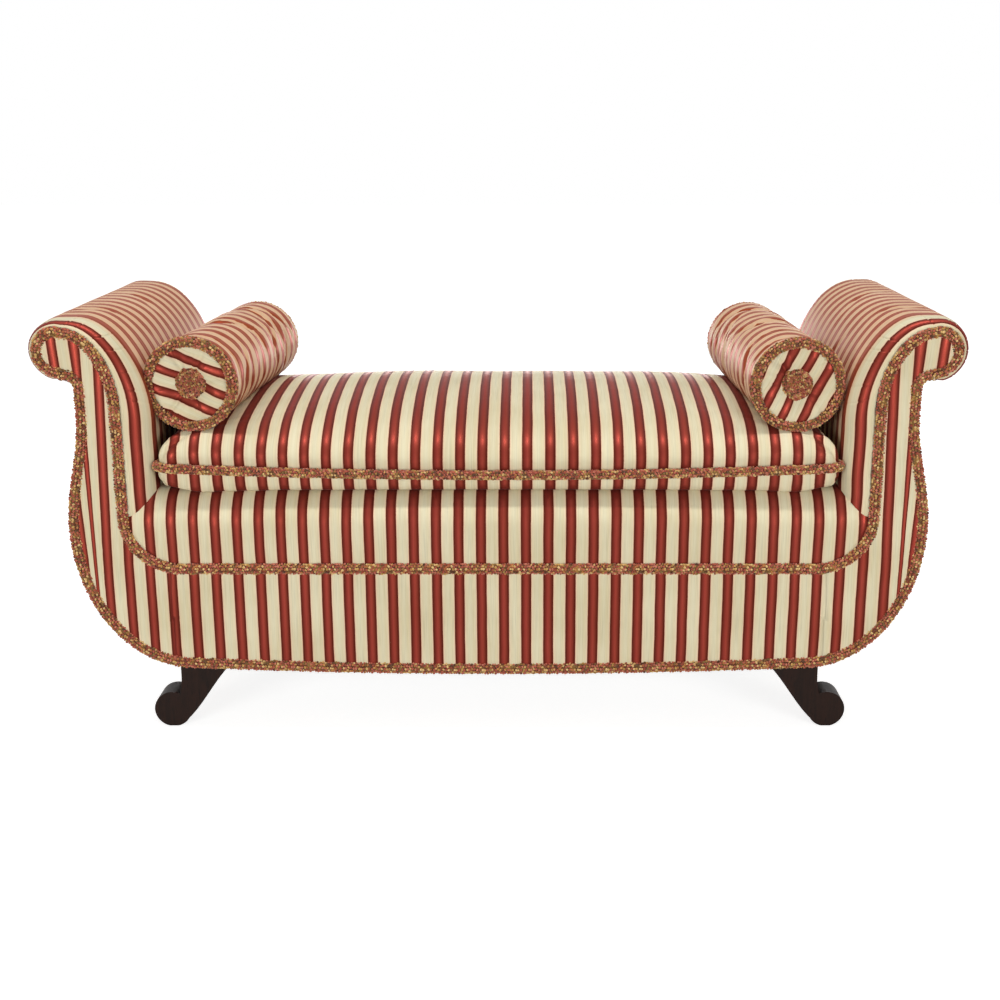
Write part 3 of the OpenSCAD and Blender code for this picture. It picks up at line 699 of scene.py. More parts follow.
@dataclass(frozen=True)
class ArmOutline:
    """The lyre-shaped outline of the right arm, as the CAD source draws it, in metres."""

    half_w: float = 0.790              # half the length over the scroll heads
    half_d: float = 0.300              # half the depth over the facings
    top: float = 0.734
    head_r: float = 0.0495             # radius of the scroll head
    neck_x: float = 0.716              # outside of the arm at its neck
    belly_out: float = 0.028           # how far the belly stands out over that
    belly_z: float = 0.375             # height of the belly
    waist_z: float = 0.575             # height of the neck
    notch_r: float = 0.015             # radius of the hollow under the head
    corner_w: float = 0.200            # width of the big lower corner
    body_z: float = 0.117              # height of the underside at that corner
    rail_drop: float = 0.012           # how far the underside bows down in the middle
    inner_x: float = 0.597             # inside of the arm's roll
    crest_x: float = 0.718             # where the roll turns down from its crest
    roll_z: float = 0.550              # height at which it stands upright
    face_x: float = 0.642              # inner edge of the facing
    seam_crest_x: float = 0.735        # where that edge turns down from its crest
    seam_turn_z: float = 0.580         # height at which it stands upright
    edge_top: float = 0.007            # how far the facing's seam lies under the roll's crest
    edge_head: float = 0.0045          # and inside the scroll head
    drawn_in: float = 0.0034           # how much further the cloth's seam lies in round the head
    drawn_share: float = 1 / 3         # share of the head over which it goes in
    edge_d: float = 0.050              # depth of the arm's rounded edge behind the facing
    seam_r: float = 0.086              # radius of the facing's lower inner corner
    lip_z: float = 0.310               # height of the seam under the deck's lip
    panel_x: float = 0.575             # half the front panel's length
    trim_w: float = 0.019
    trim_t: float = 0.008
    steps: int = 24                    # steps of each curve

    @property
    def head(self) -> Point:
        """Middle of the scroll head."""
        return (self.half_w - self.head_r, self.top - self.head_r)

    @property
    def notch_angle(self) -> float:
        """Angle at which the hollow under the head meets it, in degrees."""
        return math.degrees(math.acos((self.head[0] - self.neck_x - self.notch_r) / (self.head_r + self.notch_r)))

    @property
    def arm_low(self) -> float:
        """Height at which the facing's inner edge starts its lower corner."""
        return self.lip_z + self.seam_r

    def rail(self, inset: float) -> list[Point]:
        """The bowed underside, from the middle to the corner."""
        corner = self.neck_x + self.belly_out - self.corner_w
        shares = [k / self.steps for k in range(self.steps + 1)]
        return [(corner * s, self.body_z + inset - self.rail_drop * (1 - s * s)) for s in shares]

    def corner(self, inset: float) -> list[Point]:
        """The big lower corner."""
        centre = (self.neck_x + self.belly_out - self.corner_w, self.belly_z)
        return arc(centre, (self.corner_w - inset, self.belly_z - self.body_z - inset), -90, 0, self.steps)

    def belly(self, inset: float) -> list[Point]:
        """The side, from the belly up to the neck."""
        shares = [k / self.steps for k in range(self.steps + 1)]
        return [(self.neck_x - inset + self.belly_out * (1 + math.cos(math.pi * s)) / 2,
                 self.belly_z + (self.waist_z - self.belly_z) * s) for s in shares]

    def notch(self, inset: float) -> list[Point]:
        """The hollow under the scroll head."""
        angle = self.notch_angle
        z = self.head[1] - (self.head_r + self.notch_r) * math.sin(math.radians(angle))
        reach = self.notch_r + inset
        return arc((self.neck_x + self.notch_r, z), (reach, reach), 180, angle, self.steps // 2)

    def outside(self, inset: float) -> list[Point]:
        """The outside, from the middle of the underside to the hollow."""
        return self.rail(inset) + self.corner(inset)[1:] + self.belly(inset)[1:] + self.notch(inset)

    def crest_down(self, crest: Point, radii: Point) -> list[Point]:
        """The quarter turn over an arm's crest and the straight run from there down to the deck's corner."""
        x, z = crest[0] - radii[0], crest[1]
        down = [(x, z + (self.arm_low - z) * k / self.steps) for k in range(1, self.steps + 1)]
        return arc(crest, radii, 90, 180, self.steps) + down

    def over_head(self, inset: float) -> list[Point]:
        """The facing's inner edge: round the head, over the crest and down to the deck.

        Args:
            inset: How far inside the seam the line runs.

        Returns:
            Points from the hollow to the deck.
        """
        turn = []
        for k, (x, z) in enumerate(arc((0.0, 0.0), (1.0, 1.0), self.notch_angle - 180, 90, self.steps)):
            r = self.head_r - self.edge_head - self.drawn_in * ease(k / self.steps, 0, self.drawn_share) - inset
            turn.append((self.head[0] + x * r, self.head[1] + z * r))
        crest = (self.seam_crest_x, self.seam_turn_z)
        radii = (crest[0] - self.face_x - inset, self.top - self.edge_top - self.drawn_in - crest[1] - inset)
        return turn + self.crest_down(crest, radii)

    def roll(self) -> list[Point]:
        """The arm's roll, point for point beside over_head."""
        turn = arc(self.head, (self.head_r, self.head_r), self.notch_angle - 180, 90, self.steps)
        radii = (self.crest_x - self.inner_x, self.top - self.roll_z)
        return turn + self.crest_down((self.crest_x, self.roll_z), radii)

    def lip(self, inset: float) -> list[Point]:
        """The facing's lower inner corner and its run along the rail to the middle."""
        r = self.seam_r + inset
        turn = arc((self.face_x - self.seam_r, self.arm_low), (r, r), 0, -90, self.steps)
        return turn + [(0.0, self.lip_z - inset)]

    def face_loop(self, inset: float) -> list[Point]:
        """The whole face outline as a closed loop, moved in by inset."""
        half = self.outside(inset) + self.over_head(inset) + self.lip(inset)
        return half + [(-x, z) for x, z in reversed(half[1:-1])]


# ---------------------------------------------------------------- the bench


@dataclass
class Facings:
    """The flat, lightly padded faces: an arm facing on each side of a panel, front and back."""

    outline: ArmOutline
    puff: float = 0.0030               # how far the padding stands out
    skin: float = 0.0022
    groove: float = 0.0016             # depth of the crease between facing and panel
    groove_w: float = 0.003
    columns: int = 150
    rows: int = 14
    shares: tuple[float, ...] = (0.42, 0.20, 0.18, 0.20)    # columns on the rail, corner, belly and hollow
    arm_pitch: Point = (0.0366, 0.0397)    # stripe spacing on the left and right facing
    lean: Point = (0.030, 0.022)       # how far their stripes lean inwards with height
    head_lean: float = 0.10            # how the stripes splay over the scroll head
    head_from: Point = (0.69, 0.72)    # where along the bench that starts and is full
    head_z: float = 0.665              # height at which it is none
    rail_phase: float = 0.009          # middle of the red stripe nearest the panel's middle
    pulled: float = 0.003              # how far the panel's stripes are pulled outwards
    pulled_right: Point = (0.05, 0.45)     # where along the panel that starts and is full
    pulled_left: Point = (0.25, 0.40)

    def stripe_at(self, x: float, z: float) -> float:
        """Reads the cloth's cross coordinate on a face.

        Args:
            x: Place along the bench.
            z: Height.

        Returns:
            Distance across the stripes, a whole number of stripes at a red centre.
        """
        edge = min(max(x, -self.outline.panel_x), self.outline.panel_x)
        pulled = ease(edge, *self.pulled_right) + ease(-edge, *self.pulled_left)
        straight = edge - self.rail_phase - self.pulled * pulled
        if x == edge:
            return straight
        hand = 0 if x < 0 else 1
        lean = self.lean[hand] * max(0.0, z - self.outline.lip_z)
        lean -= self.head_lean * (z - self.head_z) * ease(abs(x), *self.head_from)
        past = (x - edge) + math.copysign(1.0, x) * lean
        return straight + past * STRIPE / self.arm_pitch[hand]

    def half(self) -> bmesh.types.BMesh:
        """Makes the right half of the front face as one puffed band.

        Returns:
            The band from the middle to the scroll head.
        """
        o = self.outline
        turn = o.lip(0.0)[:-1]
        edge = o.over_head(0.0)
        top = 2 * o.steps + 2
        outer_lines = (o.rail(0.0), o.corner(0.0), o.belly(0.0), o.notch(0.0))
        inner_lines = ([(0.0, o.lip_z), turn[-1]], turn[::-1], edge[top - 1:][::-1], edge[:top][::-1])
        lines = [(Track(a), Track(b), share) for a, b, share in zip(outer_lines, inner_lines, self.shares)]

        def place(u: float, v: float) -> Vector:
            """Sets a point of the grid between the outer and the inner line."""
            first = 0.0
            for outer, inner, share in lines:
                if u <= first + share + 1e-9:
                    break
                first += share
            s = (u - first) / share
            p = outer.at(outer.length * s).lerp(inner.at(inner.length * s), v)
            swell = self.puff * (1 - (2 * v - 1) ** 4)
            crease = self.groove * bell(abs(p.x) - o.panel_x, self.groove_w)
            return Vector((p.x, -o.half_d - swell + crease, p.y))

        return mapped_grid(self.columns, self.rows, place)

    def cut(self, end: End, low: float, high: float, name: str) -> bpy.types.Object:
        """Cuts one piece out of the whole face and lays its cloth.

        Args:
            end: Front or back.
            low: Lowest X of the piece.
            high: Highest X of the piece.
            name: Name of the piece.

        Returns:
            The finished skin.
        """
        right = self.half()
        left = right.copy()
        bmesh.ops.scale(left, verts=left.verts, vec=(-1.0, 1.0, 1.0))
        bmesh.ops.reverse_faces(left, faces=left.faces)
        whole = join([right, left])
        bmesh.ops.remove_doubles(whole, verts=whole.verts, dist=SAME)
        for plane, inner in ((low, True), (high, False)):
            bmesh.ops.bisect_plane(whole, geom=[*whole.verts, *whole.edges, *whole.faces], dist=1e-6,
                                   plane_co=(plane, 0, 0), plane_no=(1, 0, 0),
                                   clear_inner=inner, clear_outer=not inner)
        lay_cloth(whole, lambda co: (self.stripe_at(co.x, co.z), co.z))
        face_towards(whole, (0, -1, 0))
        if end is End.BACK:
            bmesh.ops.rotate(whole, verts=whole.verts, matrix=Matrix.Rotation(math.pi, 3, "Z"))
        return skin_of(name, whole, self.skin)

    def build(self) -> None:
        """Makes and places the six pieces; the back is the front turned round."""
        o = self.outline
        for end in End:
            first, last = (Side.LEFT, Side.RIGHT) if end is End.FRONT else (Side.RIGHT, Side.LEFT)
            pieces = ((f"{first.word}_{end.word}_facing", -o.half_w, -o.panel_x),
                      (f"{last.word}_{end.word}_facing", o.panel_x, o.half_w),
                      (f"{end.word}_panel", -o.panel_x, o.panel_x))
            for node, low, high in pieces:
                place_piece(self.cut(end, low, high, f"{node}_cloth"), "carcass", [node])


@dataclass
class ArmCovers:
    """The rolled arms: the inside cover with its rounded edges, and the outside cover."""

    outline: ArmOutline
    side: Side
    skin: float = 0.003
    outer_skin: float = 0.0025
    edge_cloth: float = 0.062          # cloth from the facing's seam to the end of the rounded edge
    first_red: float = 0.0205          # from that seam to the middle of the first red stripe
    tucks: int = 13                    # tucks over the rounded edge
    tuck_depth: float = 0.0021
    tuck_w: float = 0.0022             # width of a tuck, as a share of the way down the cover
    tuck_rise: Point = (0.28, 0.009)   # height and width of the rise round it
    tucked: Point = (0.06, 0.60)       # share where the tucks start, and over which they are spread
    wave: float = 0.0012               # depth of the cover's soft waves
    slack: float = 0.0030              # how far its stripes waver
    fold_depth: float = 0.0022
    sunk: float = 0.0006               # how far the cover lies inside the CAD's
    head_out: ClassVar[dict[Side, float]] = {Side.LEFT: 0.0026, Side.RIGHT: 0.0058}   # swell of the scroll head
    head_fade: Point = (0.30, 0.55)    # share of the way down over which that swell ends
    tight_y: float = 0.022             # how far from the facing the painted sheen starts on the roll's top
    tight_z: Point = (0.44, 0.60)      # height over which the painted sheen comes in
    seat_end: float = 0.372            # height at which the cover goes under the deck
    edge_steps: int = 12
    flat_steps: int = 46
    rows: int = 520
    outer_grid: tuple[int, int] = (40, 90)
    folds: tuple[Fold, ...] = (Fold(-0.155, 0.36, 0.07, 0.42, 0.010), Fold(0.045, 0.40, 0.08, -0.35, 0.007),
                               Fold(-0.06, 0.56, 0.06, 0.5, 0.006))

    def inside_lines(self) -> tuple[Track, Track]:
        """The facing seam and the roll, both down to where the cover ends.

        Returns:
            Two tracks with their points side by side.
        """
        o = self.outline
        seam, roll = o.over_head(0.0), o.roll()
        corner = math.sqrt(o.seam_r ** 2 - (o.arm_low - self.seat_end) ** 2)
        seam.append((o.face_x - o.seam_r + corner, self.seat_end))
        roll.append((o.inner_x, self.seat_end))
        return Track(seam), Track(roll)

    def inside(self) -> bpy.types.Object:
        """Makes the inside cover: front edge, roll and back edge in one piece.

        Returns:
            The padded cover.
        """
        o = self.outline
        seam, roll = self.inside_lines()
        count = len(seam.points) - 1
        columns = 2 * self.edge_steps + self.flat_steps
        hand = self.side.value
        rnd = random.Random(9 + 2 * hand)
        first, spread = self.tucked
        tucks = [(first + spread * (k + 0.7 * rnd.random()) / self.tucks, 0.4 + 0.9 * rnd.random())
                 for k in range(self.tucks)]
        rise, rise_w = self.tuck_rise

        def across(u: float) -> tuple[float, float, float]:
            """Splits the first parameter into turn of the edge, place along Y and cloth coordinate."""
            k = u * columns
            if k <= self.edge_steps:
                t = k / self.edge_steps * math.pi / 2
                return t, -o.half_d + o.edge_d * (1 - math.cos(t)), self.edge_cloth * k / self.edge_steps
            if k >= columns - self.edge_steps:
                t, y, c = across((columns - k) / columns)
                return t, -y, 2 * (self.edge_cloth + o.half_d - o.edge_d) - c
            s = (k - self.edge_steps) / self.flat_steps
            length = 2 * (o.half_d - o.edge_d)
            return math.pi / 2, -o.half_d + o.edge_d + length * s, self.edge_cloth + length * s

        def place(u: float, v: float) -> Vector:
            """Sets a point of the cover, with small tucks over the rounded edge."""
            t, y, _ = across(u)
            along = v * count
            low = min(int(along), count - 1)
            f = along - low
            s = seam.points[low].lerp(seam.points[low + 1], f)
            r = roll.points[low].lerp(roll.points[low + 1], f)
            p = s.lerp(r, math.sin(t))
            tangent = (roll.points[low + 1] - roll.points[low]).normalized()
            fold = sum(w * (bell(v - c, self.tuck_w) - rise * bell(v - c, rise_w)) for c, w in tucks)
            fold *= self.tuck_depth * math.sin(2 * t) ** 2 if t < math.pi / 2 - 1e-6 else 0.0
            wave = self.wave * ripple(v * 9, y * 7, 3.0 * hand)
            fold += self.fold_depth * sum(f.read(y, v)[1] for f in self.folds)
            # the head swells a little way behind the seam
            swell = ease(v, 0, 0.05) * (1 - ease(v, *self.head_fade)) * ease(math.sin(t), 0, 0.6)
            inward = fold - self.head_out[self.side] * swell - wave - self.sunk
            return Vector((hand * (p.x - tangent.y * inward), y, p.y + tangent.x * inward))

        def cloth(u: float, v: float) -> Point:
            """Reads the cloth map: stripes lie along the roll."""
            _, y, c = across(u)
            slack = self.slack * ripple(y * 8, v * 7, 5.0 * hand)
            slack += sum(f.read(y, v)[0] for f in self.folds)
            # the first stripe stays straight along the facing
            return (c - self.first_red + slack * ease(c, 0.03, 0.09), v * roll.length)

        bm = mapped_grid(columns, self.rows, place, cloth)
        face_towards(bm, (0, 0, 1))
        # painted sheen: the roll's top, away from the rounded edges, gets the tan tint
        mark_stretch(bm, lambda co: ease(o.half_d - self.tight_y - abs(co.y), 0, 0.03) * ease(co.z, *self.tight_z))
        return skin_of(f"{self.side.word}_inside_arm_cloth", bm, self.skin)

    def outside(self) -> bpy.types.Object:
        """Makes the outside cover, from the leg up to the hollow under the head.

        Returns:
            The skin.
        """
        o = self.outline
        hand = self.side.value
        line = Track(o.corner(0.0) + o.belly(0.0)[1:] + o.notch(0.0)[1:])

        def place(u: float, v: float) -> Vector:
            """Sets a point of the cover, a hair inside the CAD's."""
            p = line.at(line.length * v)
            return Vector((hand * (p.x - 0.4 * MM), o.half_d * (2 * u - 1), p.y + 0.2 * MM))

        bm = mapped_grid(*self.outer_grid, place, lambda u, v: (2 * o.half_d * (u - 0.5), line.length * v))
        face_towards(bm, (hand, 0, 0))
        return skin_of(f"{self.side.word}_outside_arm_cloth", bm, self.outer_skin)

    def build(self) -> None:
        """Makes and places both covers."""
        word = self.side.word
        place_piece(self.inside(), "carcass",
                    [f"{word}_inside_arm_cover", f"{word}_arm_pad"])
        place_piece(self.outside(), "carcass", [f"{word}_outside_arm_cover"])


@dataclass
class Deck:
    """The padded deck with its round front and back lips."""

    outline: ArmOutline
    top: float = 0.438
    lip_round: float = 0.056
    reach: float = 0.6405              # half the deck's length over its lips
    under_arm: float = 0.004           # how far its top goes under the arm covers
    corner_gap: float = 0.0015         # room that its round lower corners leave to the trim
    skin: float = 0.003
    swell: float = 0.0028              # how far the lip's front swells
    swell_z: float = 0.12              # over what height
    wave: float = 0.0014               # depth of the top's soft waves
    wave_z: float = 0.43               # height above which they lie
    first_red: float = 0.0085          # middle of the red stripe nearest the middle
    left_pull: float = 0.026           # how much wider the stripes are at the left end, as a share
    left_from: float = 0.25
    right_pull: float = 0.0018         # how far those on the right are pulled outwards
    grid: tuple[int, int] = (150, 110)

    def build(self) -> None:
        """Makes the deck as one cloth from lip to lip."""
        o = self.outline
        r = self.lip_round
        low = o.lip_z - 4 * MM         # the lip goes under the trim
        front = [(-o.half_d, low), *arc((-o.half_d + r, self.top - r), (r, r), 180, 90, 14)]
        line = Track([*front, *[(-y, z) for y, z in reversed(front)]])

        def place(u: float, v: float) -> Vector:
            """Sets a point of the deck; the lip's lower corners are round."""
            p = line.at(line.length * v)
            reach = self.reach
            if p.y < o.arm_low:
                drop = min(o.arm_low - p.y, o.seam_r - MM)
                reach = o.face_x - o.seam_r + math.sqrt(o.seam_r ** 2 - drop ** 2) - self.corner_gap
            elif p.y > self.top - 2 * MM:
                reach = o.inner_x + self.under_arm
            x = (2 * u - 1) * reach
            lip = 1 - ease(p.y - o.lip_z, 0.075, 0.125)
            swell = self.swell * math.sin(math.pi * min(1.0, max(0.0, (p.y - o.lip_z) / self.swell_z))) * lip
            wave = self.wave * ripple(x * 7, p.x * 9, 1.7) if p.y > self.wave_z else 0.0
            return Vector((x, p.x + math.copysign(swell, p.x), p.y + wave - 0.4 * MM))

        def cloth(co: Vector) -> Point:
            """Reads the cloth map, which runs on over both lips."""
            wider = self.left_pull * max(0.0, -self.left_from - co.x)
            across = co.x - self.first_red - wider - self.right_pull * ease(co.x, 0, 0.3)
            return across, co.y + (co.z if abs(co.y) > o.half_d - 10 * MM else self.wave_z)

        bm = mapped_grid(*self.grid, place)
        lay_cloth(bm, cloth)
        face_towards(bm, (0, 0, 1))
        place_piece(skin_of("deck_cloth", bm, self.skin), "carcass", ["deck_cover", "deck_pad"])


def add_tuft(bm: bmesh.types.BMesh, matrix: Matrix, number: float) -> None:
    """Adds one rounded tuft of yarn.

    Args:
        bm: Mesh with a yarn layer on its faces.
        matrix: Shape and place of the tuft.
        number: Its yarn number, from 0 to 1.
    """
    yarn = bm.faces.layers.float[YARN]
    made = bmesh.ops.create_icosphere(bm, subdivisions=1, radius=1.0, matrix=matrix)
    for face in {f for v in made["verts"] for f in v.link_faces}:
        face[yarn] = number


def yarn_piece(name: str, bm: bmesh.types.BMesh) -> bpy.types.Object:
    """Makes a piece of looped chenille, whose tufts stay apart."""
    return finished(name, bm, CHENILLE, closed=False, seam=0.0)


@dataclass
class Braid:
    """A trim of looped yarn: tufts on a padded strip, made straight and then laid along a line."""

    width: float = 0.019
    height: float = 0.008
    around: float = 180.0              # how much of the strip's section the tufts cover, in degrees
    rows: int = 5
    pitch: float = 4.6 * MM
    loop: Place = (3.0 * MM, 2.3 * MM, 2.3 * MM)
    block_length: float = 0.11
    base_share: float = 0.84           # size of the padded base, as a share of the trim's
    base_face: float = 0.008           # length of its faces
    base_rows: int = 8
    base_yarn: float = 0.46            # its yarn number: the darkest yarn, partly a dark core and partly painted shade for the gaps between loops
    reading: float = 0.004             # half the length over which the line's direction is read
    seed: int = 3

    def section(self, turn: float, share: float = 1.0) -> tuple[float, float]:
        """Reads the strip's section.

        Args:
            turn: 0 to 1 over the covered part.
            share: Share of the full size.

        Returns:
            Place across the strip and height over its middle line.
        """
        a = math.radians(90 + self.around / 2 - self.around * turn)
        return self.width / 2 * share * math.cos(a), self.height * share * math.sin(a)

    def block(self, length: float) -> bmesh.types.BMesh:
        """Makes one straight block of tufts.

        Args:
            length: Length of the block.

        Returns:
            Tufts with their yarn numbers; X runs along the strip, Z is its height.
        """
        rnd = random.Random(self.seed)
        bm = bmesh.new()
        bm.faces.layers.float.new(YARN)
        count = max(1, round(length / self.pitch))
        for k in range(count):
            for row in range(self.rows):
                turn = (row + 0.5 + 0.5 * (rnd.random() - 0.5)) / self.rows
                y, z = self.section(turn, 0.80 + 0.18 * rnd.random())
                along = length * (k + 0.5 + 0.5 * (row % 2) + 0.35 * (rnd.random() - 0.5)) / count
                tilt = math.atan2(y / self.width, max(z, -self.height) / self.height * 0.5 + 1e-6)
                size = [s * (0.78 + 0.36 * rnd.random()) for s in self.loop]
                matrix = (Matrix.Translation((along, y, z)) @ Matrix.Rotation(-tilt, 4, "X")
                          @ Matrix.Rotation(rnd.uniform(0, math.pi), 4, "Z")
                          @ Matrix.Rotation(rnd.uniform(-0.5, 0.5), 4, "Y")
                          @ Matrix.Diagonal((*size, 1.0)))
                add_tuft(bm, matrix, rnd.random())
        return bm

    def strip(self, length: float) -> bmesh.types.BMesh:
        """Makes the whole straight trim.

        Args:
            length: Its length.

        Returns:
            Blocks of tufts end to end on a padded base.
        """
        blocks = max(1, round(length / self.block_length))
        step = length / blocks
        bm = self.block(step)
        first = [*bm.verts, *bm.edges, *bm.faces]
        for k in range(1, blocks):
            made = bmesh.ops.duplicate(bm, geom=first)["geom"]
            verts = [g for g in made if isinstance(g, bmesh.types.BMVert)]
            bmesh.ops.translate(bm, verts=verts, vec=(step * k, 0, 0))
        base = bmesh.new()
        dark = base.faces.layers.float.new(YARN)
        bmesh.ops.create_grid(base, x_segments=max(4, round(length / self.base_face)), y_segments=self.base_rows,
                              size=0.5)
        for vert in base.verts:
            y, z = self.section(vert.co.y + 0.5, self.base_share)
            vert.co = ((vert.co.x + 0.5) * length, y, z)
        # painted shade: the base showing between the tufts takes the darkest yarn
        for face in base.faces:
            face[dark] = self.base_yarn
        return join([bm, base])

    def laid(self, line: Sequence[Vector], outward: Callable[[Vector, Vector], Vector]) -> bmesh.types.BMesh:
        """Lays the trim along a closed line.

        Args:
            line: The line's points, the first one again at its end.
            outward: Gives the trim's upward direction for a point and the line's direction there.

        Returns:
            The laid trim.
        """
        track = Track(line)
        bm = self.strip(track.length)
        for vert in bm.verts:
            along = vert.co.x % track.length
            before, after = (track.at((along + step) % track.length) for step in (-self.reading, self.reading))
            run = (after - before).normalized()
            middle = track.at(along)
            side = run.cross(outward(middle, run)).normalized()
            vert.co = middle + side * vert.co.y + side.cross(run).normalized() * vert.co.z
        return bm


@dataclass
class FaceTrims:
    """The looped trim round the front and the back face."""

    outline: ArmOutline
    out: float = 0.6 * MM              # how far it stands out over the face's edge
    sunk: float = 0.3 * MM
    fuller: float = 0.5 * MM           # how much wider and flatter it looks than its CAD strip
    flatter: float = 1.0 * MM

    def build(self) -> None:
        """Makes and places both loops."""
        o = self.outline
        loop = o.face_loop(o.trim_w / 2 - self.out)
        for end in End:
            y = end.value * (o.half_d - self.sunk)
            braid = Braid(width=o.trim_w + self.fuller, height=o.trim_t - self.flatter, seed=5 + end.value)
            out = Vector((0.0, end.value, 0.0))
            bm = braid.laid([Vector((x, y, z)) for x, z in [*loop, loop[0]]], lambda p, run, out=out: out)
            place_piece(yarn_piece(f"{end.word}_looped_trim", bm), "carcass", [f"{end.word}_trim"])


@dataclass
class SeatCushion:
    """The crowned loose seat cushion, its casing cut so that the stripes match across the trim."""

    half_w: float = 0.5804
    half_d: float = 0.2837
    base: float = 0.4383
    edge: float = 0.028
    bow: float = 0.013
    crown: float = 0.117
    corner: float = 0.024
    draw_in: float = 0.004
    dome: Point = (3.0, 2.0)           # how flat the crown's middle is, across and along
    wall: float = 0.52                 # share of the crown that rises straight from the trim
    wall_turn: float = 0.38            # how sharply that wall turns over
    wall_flat: Point = (24, 12)        # how close to the seam it stands, across and along
    wave: float = 0.0022               # depth of the crown's soft waves
    gather: float = 0.0016             # depth of the gathers beside the seam
    gather_w: float = 0.05             # over what share of the casing they fade
    sag: float = 0.004                 # how far the underside sags over the deck's round lip
    sag_y: Point = (0.24, 0.27)        # where that starts and is full
    belly: float = 0.009               # how far the underside swells out beyond the seam
    turn_share: float = 0.94           # share of the outline at which the underside starts to turn up
    bulge: float = 0.008               # how far the wall above the seam swells out
    under_in: float = 0.010            # how far inside the seam the flat underside ends
    lift: float = 0.010                # how far the underside rises towards the arms
    lift_w: float = 0.07               # over what length
    ear: float = 0.010                 # how far the corners reach out over the arms' rounded edges
    ear_from: Point = (0.86, 0.98)     # shares of the depth at which that starts and is full
    cord: float = 0.016
    first_red: float = 0.011           # middle of the red stripe nearest the middle
    pitch: float = 0.0386
    right_pull: float = 0.0038         # how far the stripes on the right are pulled outwards
    left_pull: float = 0.005           # and those at the left end
    left_from: Point = (0.28, 0.43)
    grid: tuple[int, int] = (170, 80)
    trim_steps: int = 60
    sewn: float = 0.0015               # how near the seam a point is held
    settled: Point = (0.0025, 0.03)    # how far the casing may settle, and how much larger it is cut
    bolsters: tuple[Bolster, ...] = ()

    def rim(self, u: float, v: float, out: float = 0.0) -> Point:
        """Reads the outline with its round corners and drawn-in sides.

        Args:
            u: Place across on the unit square's edge, from -1 to 1.
            v: Place along on the unit square's edge, from -1 to 1.
            out: How far outside the seam.

        Returns:
            The point of the outline.
        """
        cx, cy = self.half_w - self.corner, self.half_d - self.corner
        x, y = abs(u) * self.half_w, abs(v) * self.half_d
        ear = self.ear * ease(y / self.half_d, *self.ear_from) * ease(3 * x / cx, 2, 3)
        if x > cx and y > cy:
            away = Vector((x - cx, y - cy)).normalized() * (self.corner + out)
            x, y = cx + away.x, cy + away.y
        elif y >= self.half_d - 1e-9:
            y += out - self.draw_in * (1 - (x / cx) ** 2)
        else:
            x += out - self.draw_in * (1 - (y / cy) ** 2)
        return math.copysign(x + ear, u), math.copysign(y, v)

    def edge_z(self, x: float) -> float:
        """Height of the trim seam."""
        return self.base + self.edge + self.bow * (x / self.half_w) ** 2

    def near_seam(self, co: Vector) -> bool:
        """Tells whether a point lies at the rim, where the trim is sewn on."""
        return abs(co.x) > self.half_w - self.corner or abs(co.y) > self.half_d - self.corner

    def surface(self, u: float, v: float, top: bool) -> Vector:
        """Sets a point of the casing.

        Args:
            u: Place across, from -1 to 1.
            v: Place along, from -1 to 1.
            top: Whether the point is above the seam.

        Returns:
            The point.
        """
        s = max(abs(u), abs(v))
        tx, ty = abs(u), abs(v)
        wall = ((1 - tx ** self.wall_flat[0]) * (1 - ty ** self.wall_flat[1])) ** self.wall_turn
        if s < 1e-9:
            x = y = 0.0
        else:
            ex, ey = self.rim(u / s, v / s, self.bulge * math.sin(math.pi * min(1.0, wall)) if top else 0.0)
            x, y = ex * s, ey * s
        rise = self.edge_z(x)
        if top:
            dome = (1 - tx ** self.dome[0]) * (1 - ty ** self.dome[1])
            z = rise + self.crown * (self.wall * wall + (1 - self.wall) * dome)
            z += self.wave * ripple(x * 6, y * 6, 0.4) * min(1.0, (1 - s) * 6)
            z = min([z, *[b.bottom_at(x, y) for b in self.bolsters]])
        else:
            # the underside turns up to the seam over a soft round edge
            turn = min(1.0, (1 - s) / (1 - self.turn_share))
            angle = math.pi * (0.5 - turn)
            if s > 1e-9:
                out = self.belly * math.cos(angle) - self.under_in * (1 - math.sin(angle)) / 2
                ex, ey = self.rim(u / s, v / s, out)
                share = min(1.0, s / self.turn_share)
                x, y = ex * share, ey * share
            low = self.base - self.sag * ease(abs(y), *self.sag_y)
            low += self.lift * ease(abs(x), self.half_w - self.lift_w, self.half_w)
            middle, half = (rise + low) / 2, (rise - low) / 2
            z = middle + half * math.sin(angle)
        if s < 1 - 1e-9:
            z += self.gather * bell(1 - s, self.gather_w) * ripple(x * 45, y * 45, 2.0 if top else 5.0)
        return Vector((x, y, z))

    def casing(self) -> bpy.types.Object:
        """Makes the stuffed casing.

        Returns:
            The padded piece.
        """
        halves = []
        for top in (True, False):
            def place(u: float, v: float, top: bool = top) -> Vector:
                """Eases the grid towards the seam, then sets its point."""
                a, b = (math.sin(math.pi / 2 * (2 * w - 1)) for w in (u, v))
                return self.surface(a, b, top)

            half = mapped_grid(*self.grid, place)
            for face in half.faces:
                face.normal_update()
            if (sum(f.normal.z for f in half.faces) > 0) != top:
                bmesh.ops.reverse_faces(half, faces=half.faces)
            halves.append(half)
        bm = join(halves)

        def cloth(co: Vector) -> Point:
            """Reads the cloth map, which matches above and below the seam."""
            pulled = self.right_pull * ease(co.x, 0, 0.2) + self.left_pull * ease(-co.x, *self.left_from)
            return (co.x - self.first_red - pulled) * STRIPE / self.pitch, co.y

        lay_cloth(bm, cloth)
        return finished("seat_cushion_casing", bm, SATIN, seam=SAME / 10)

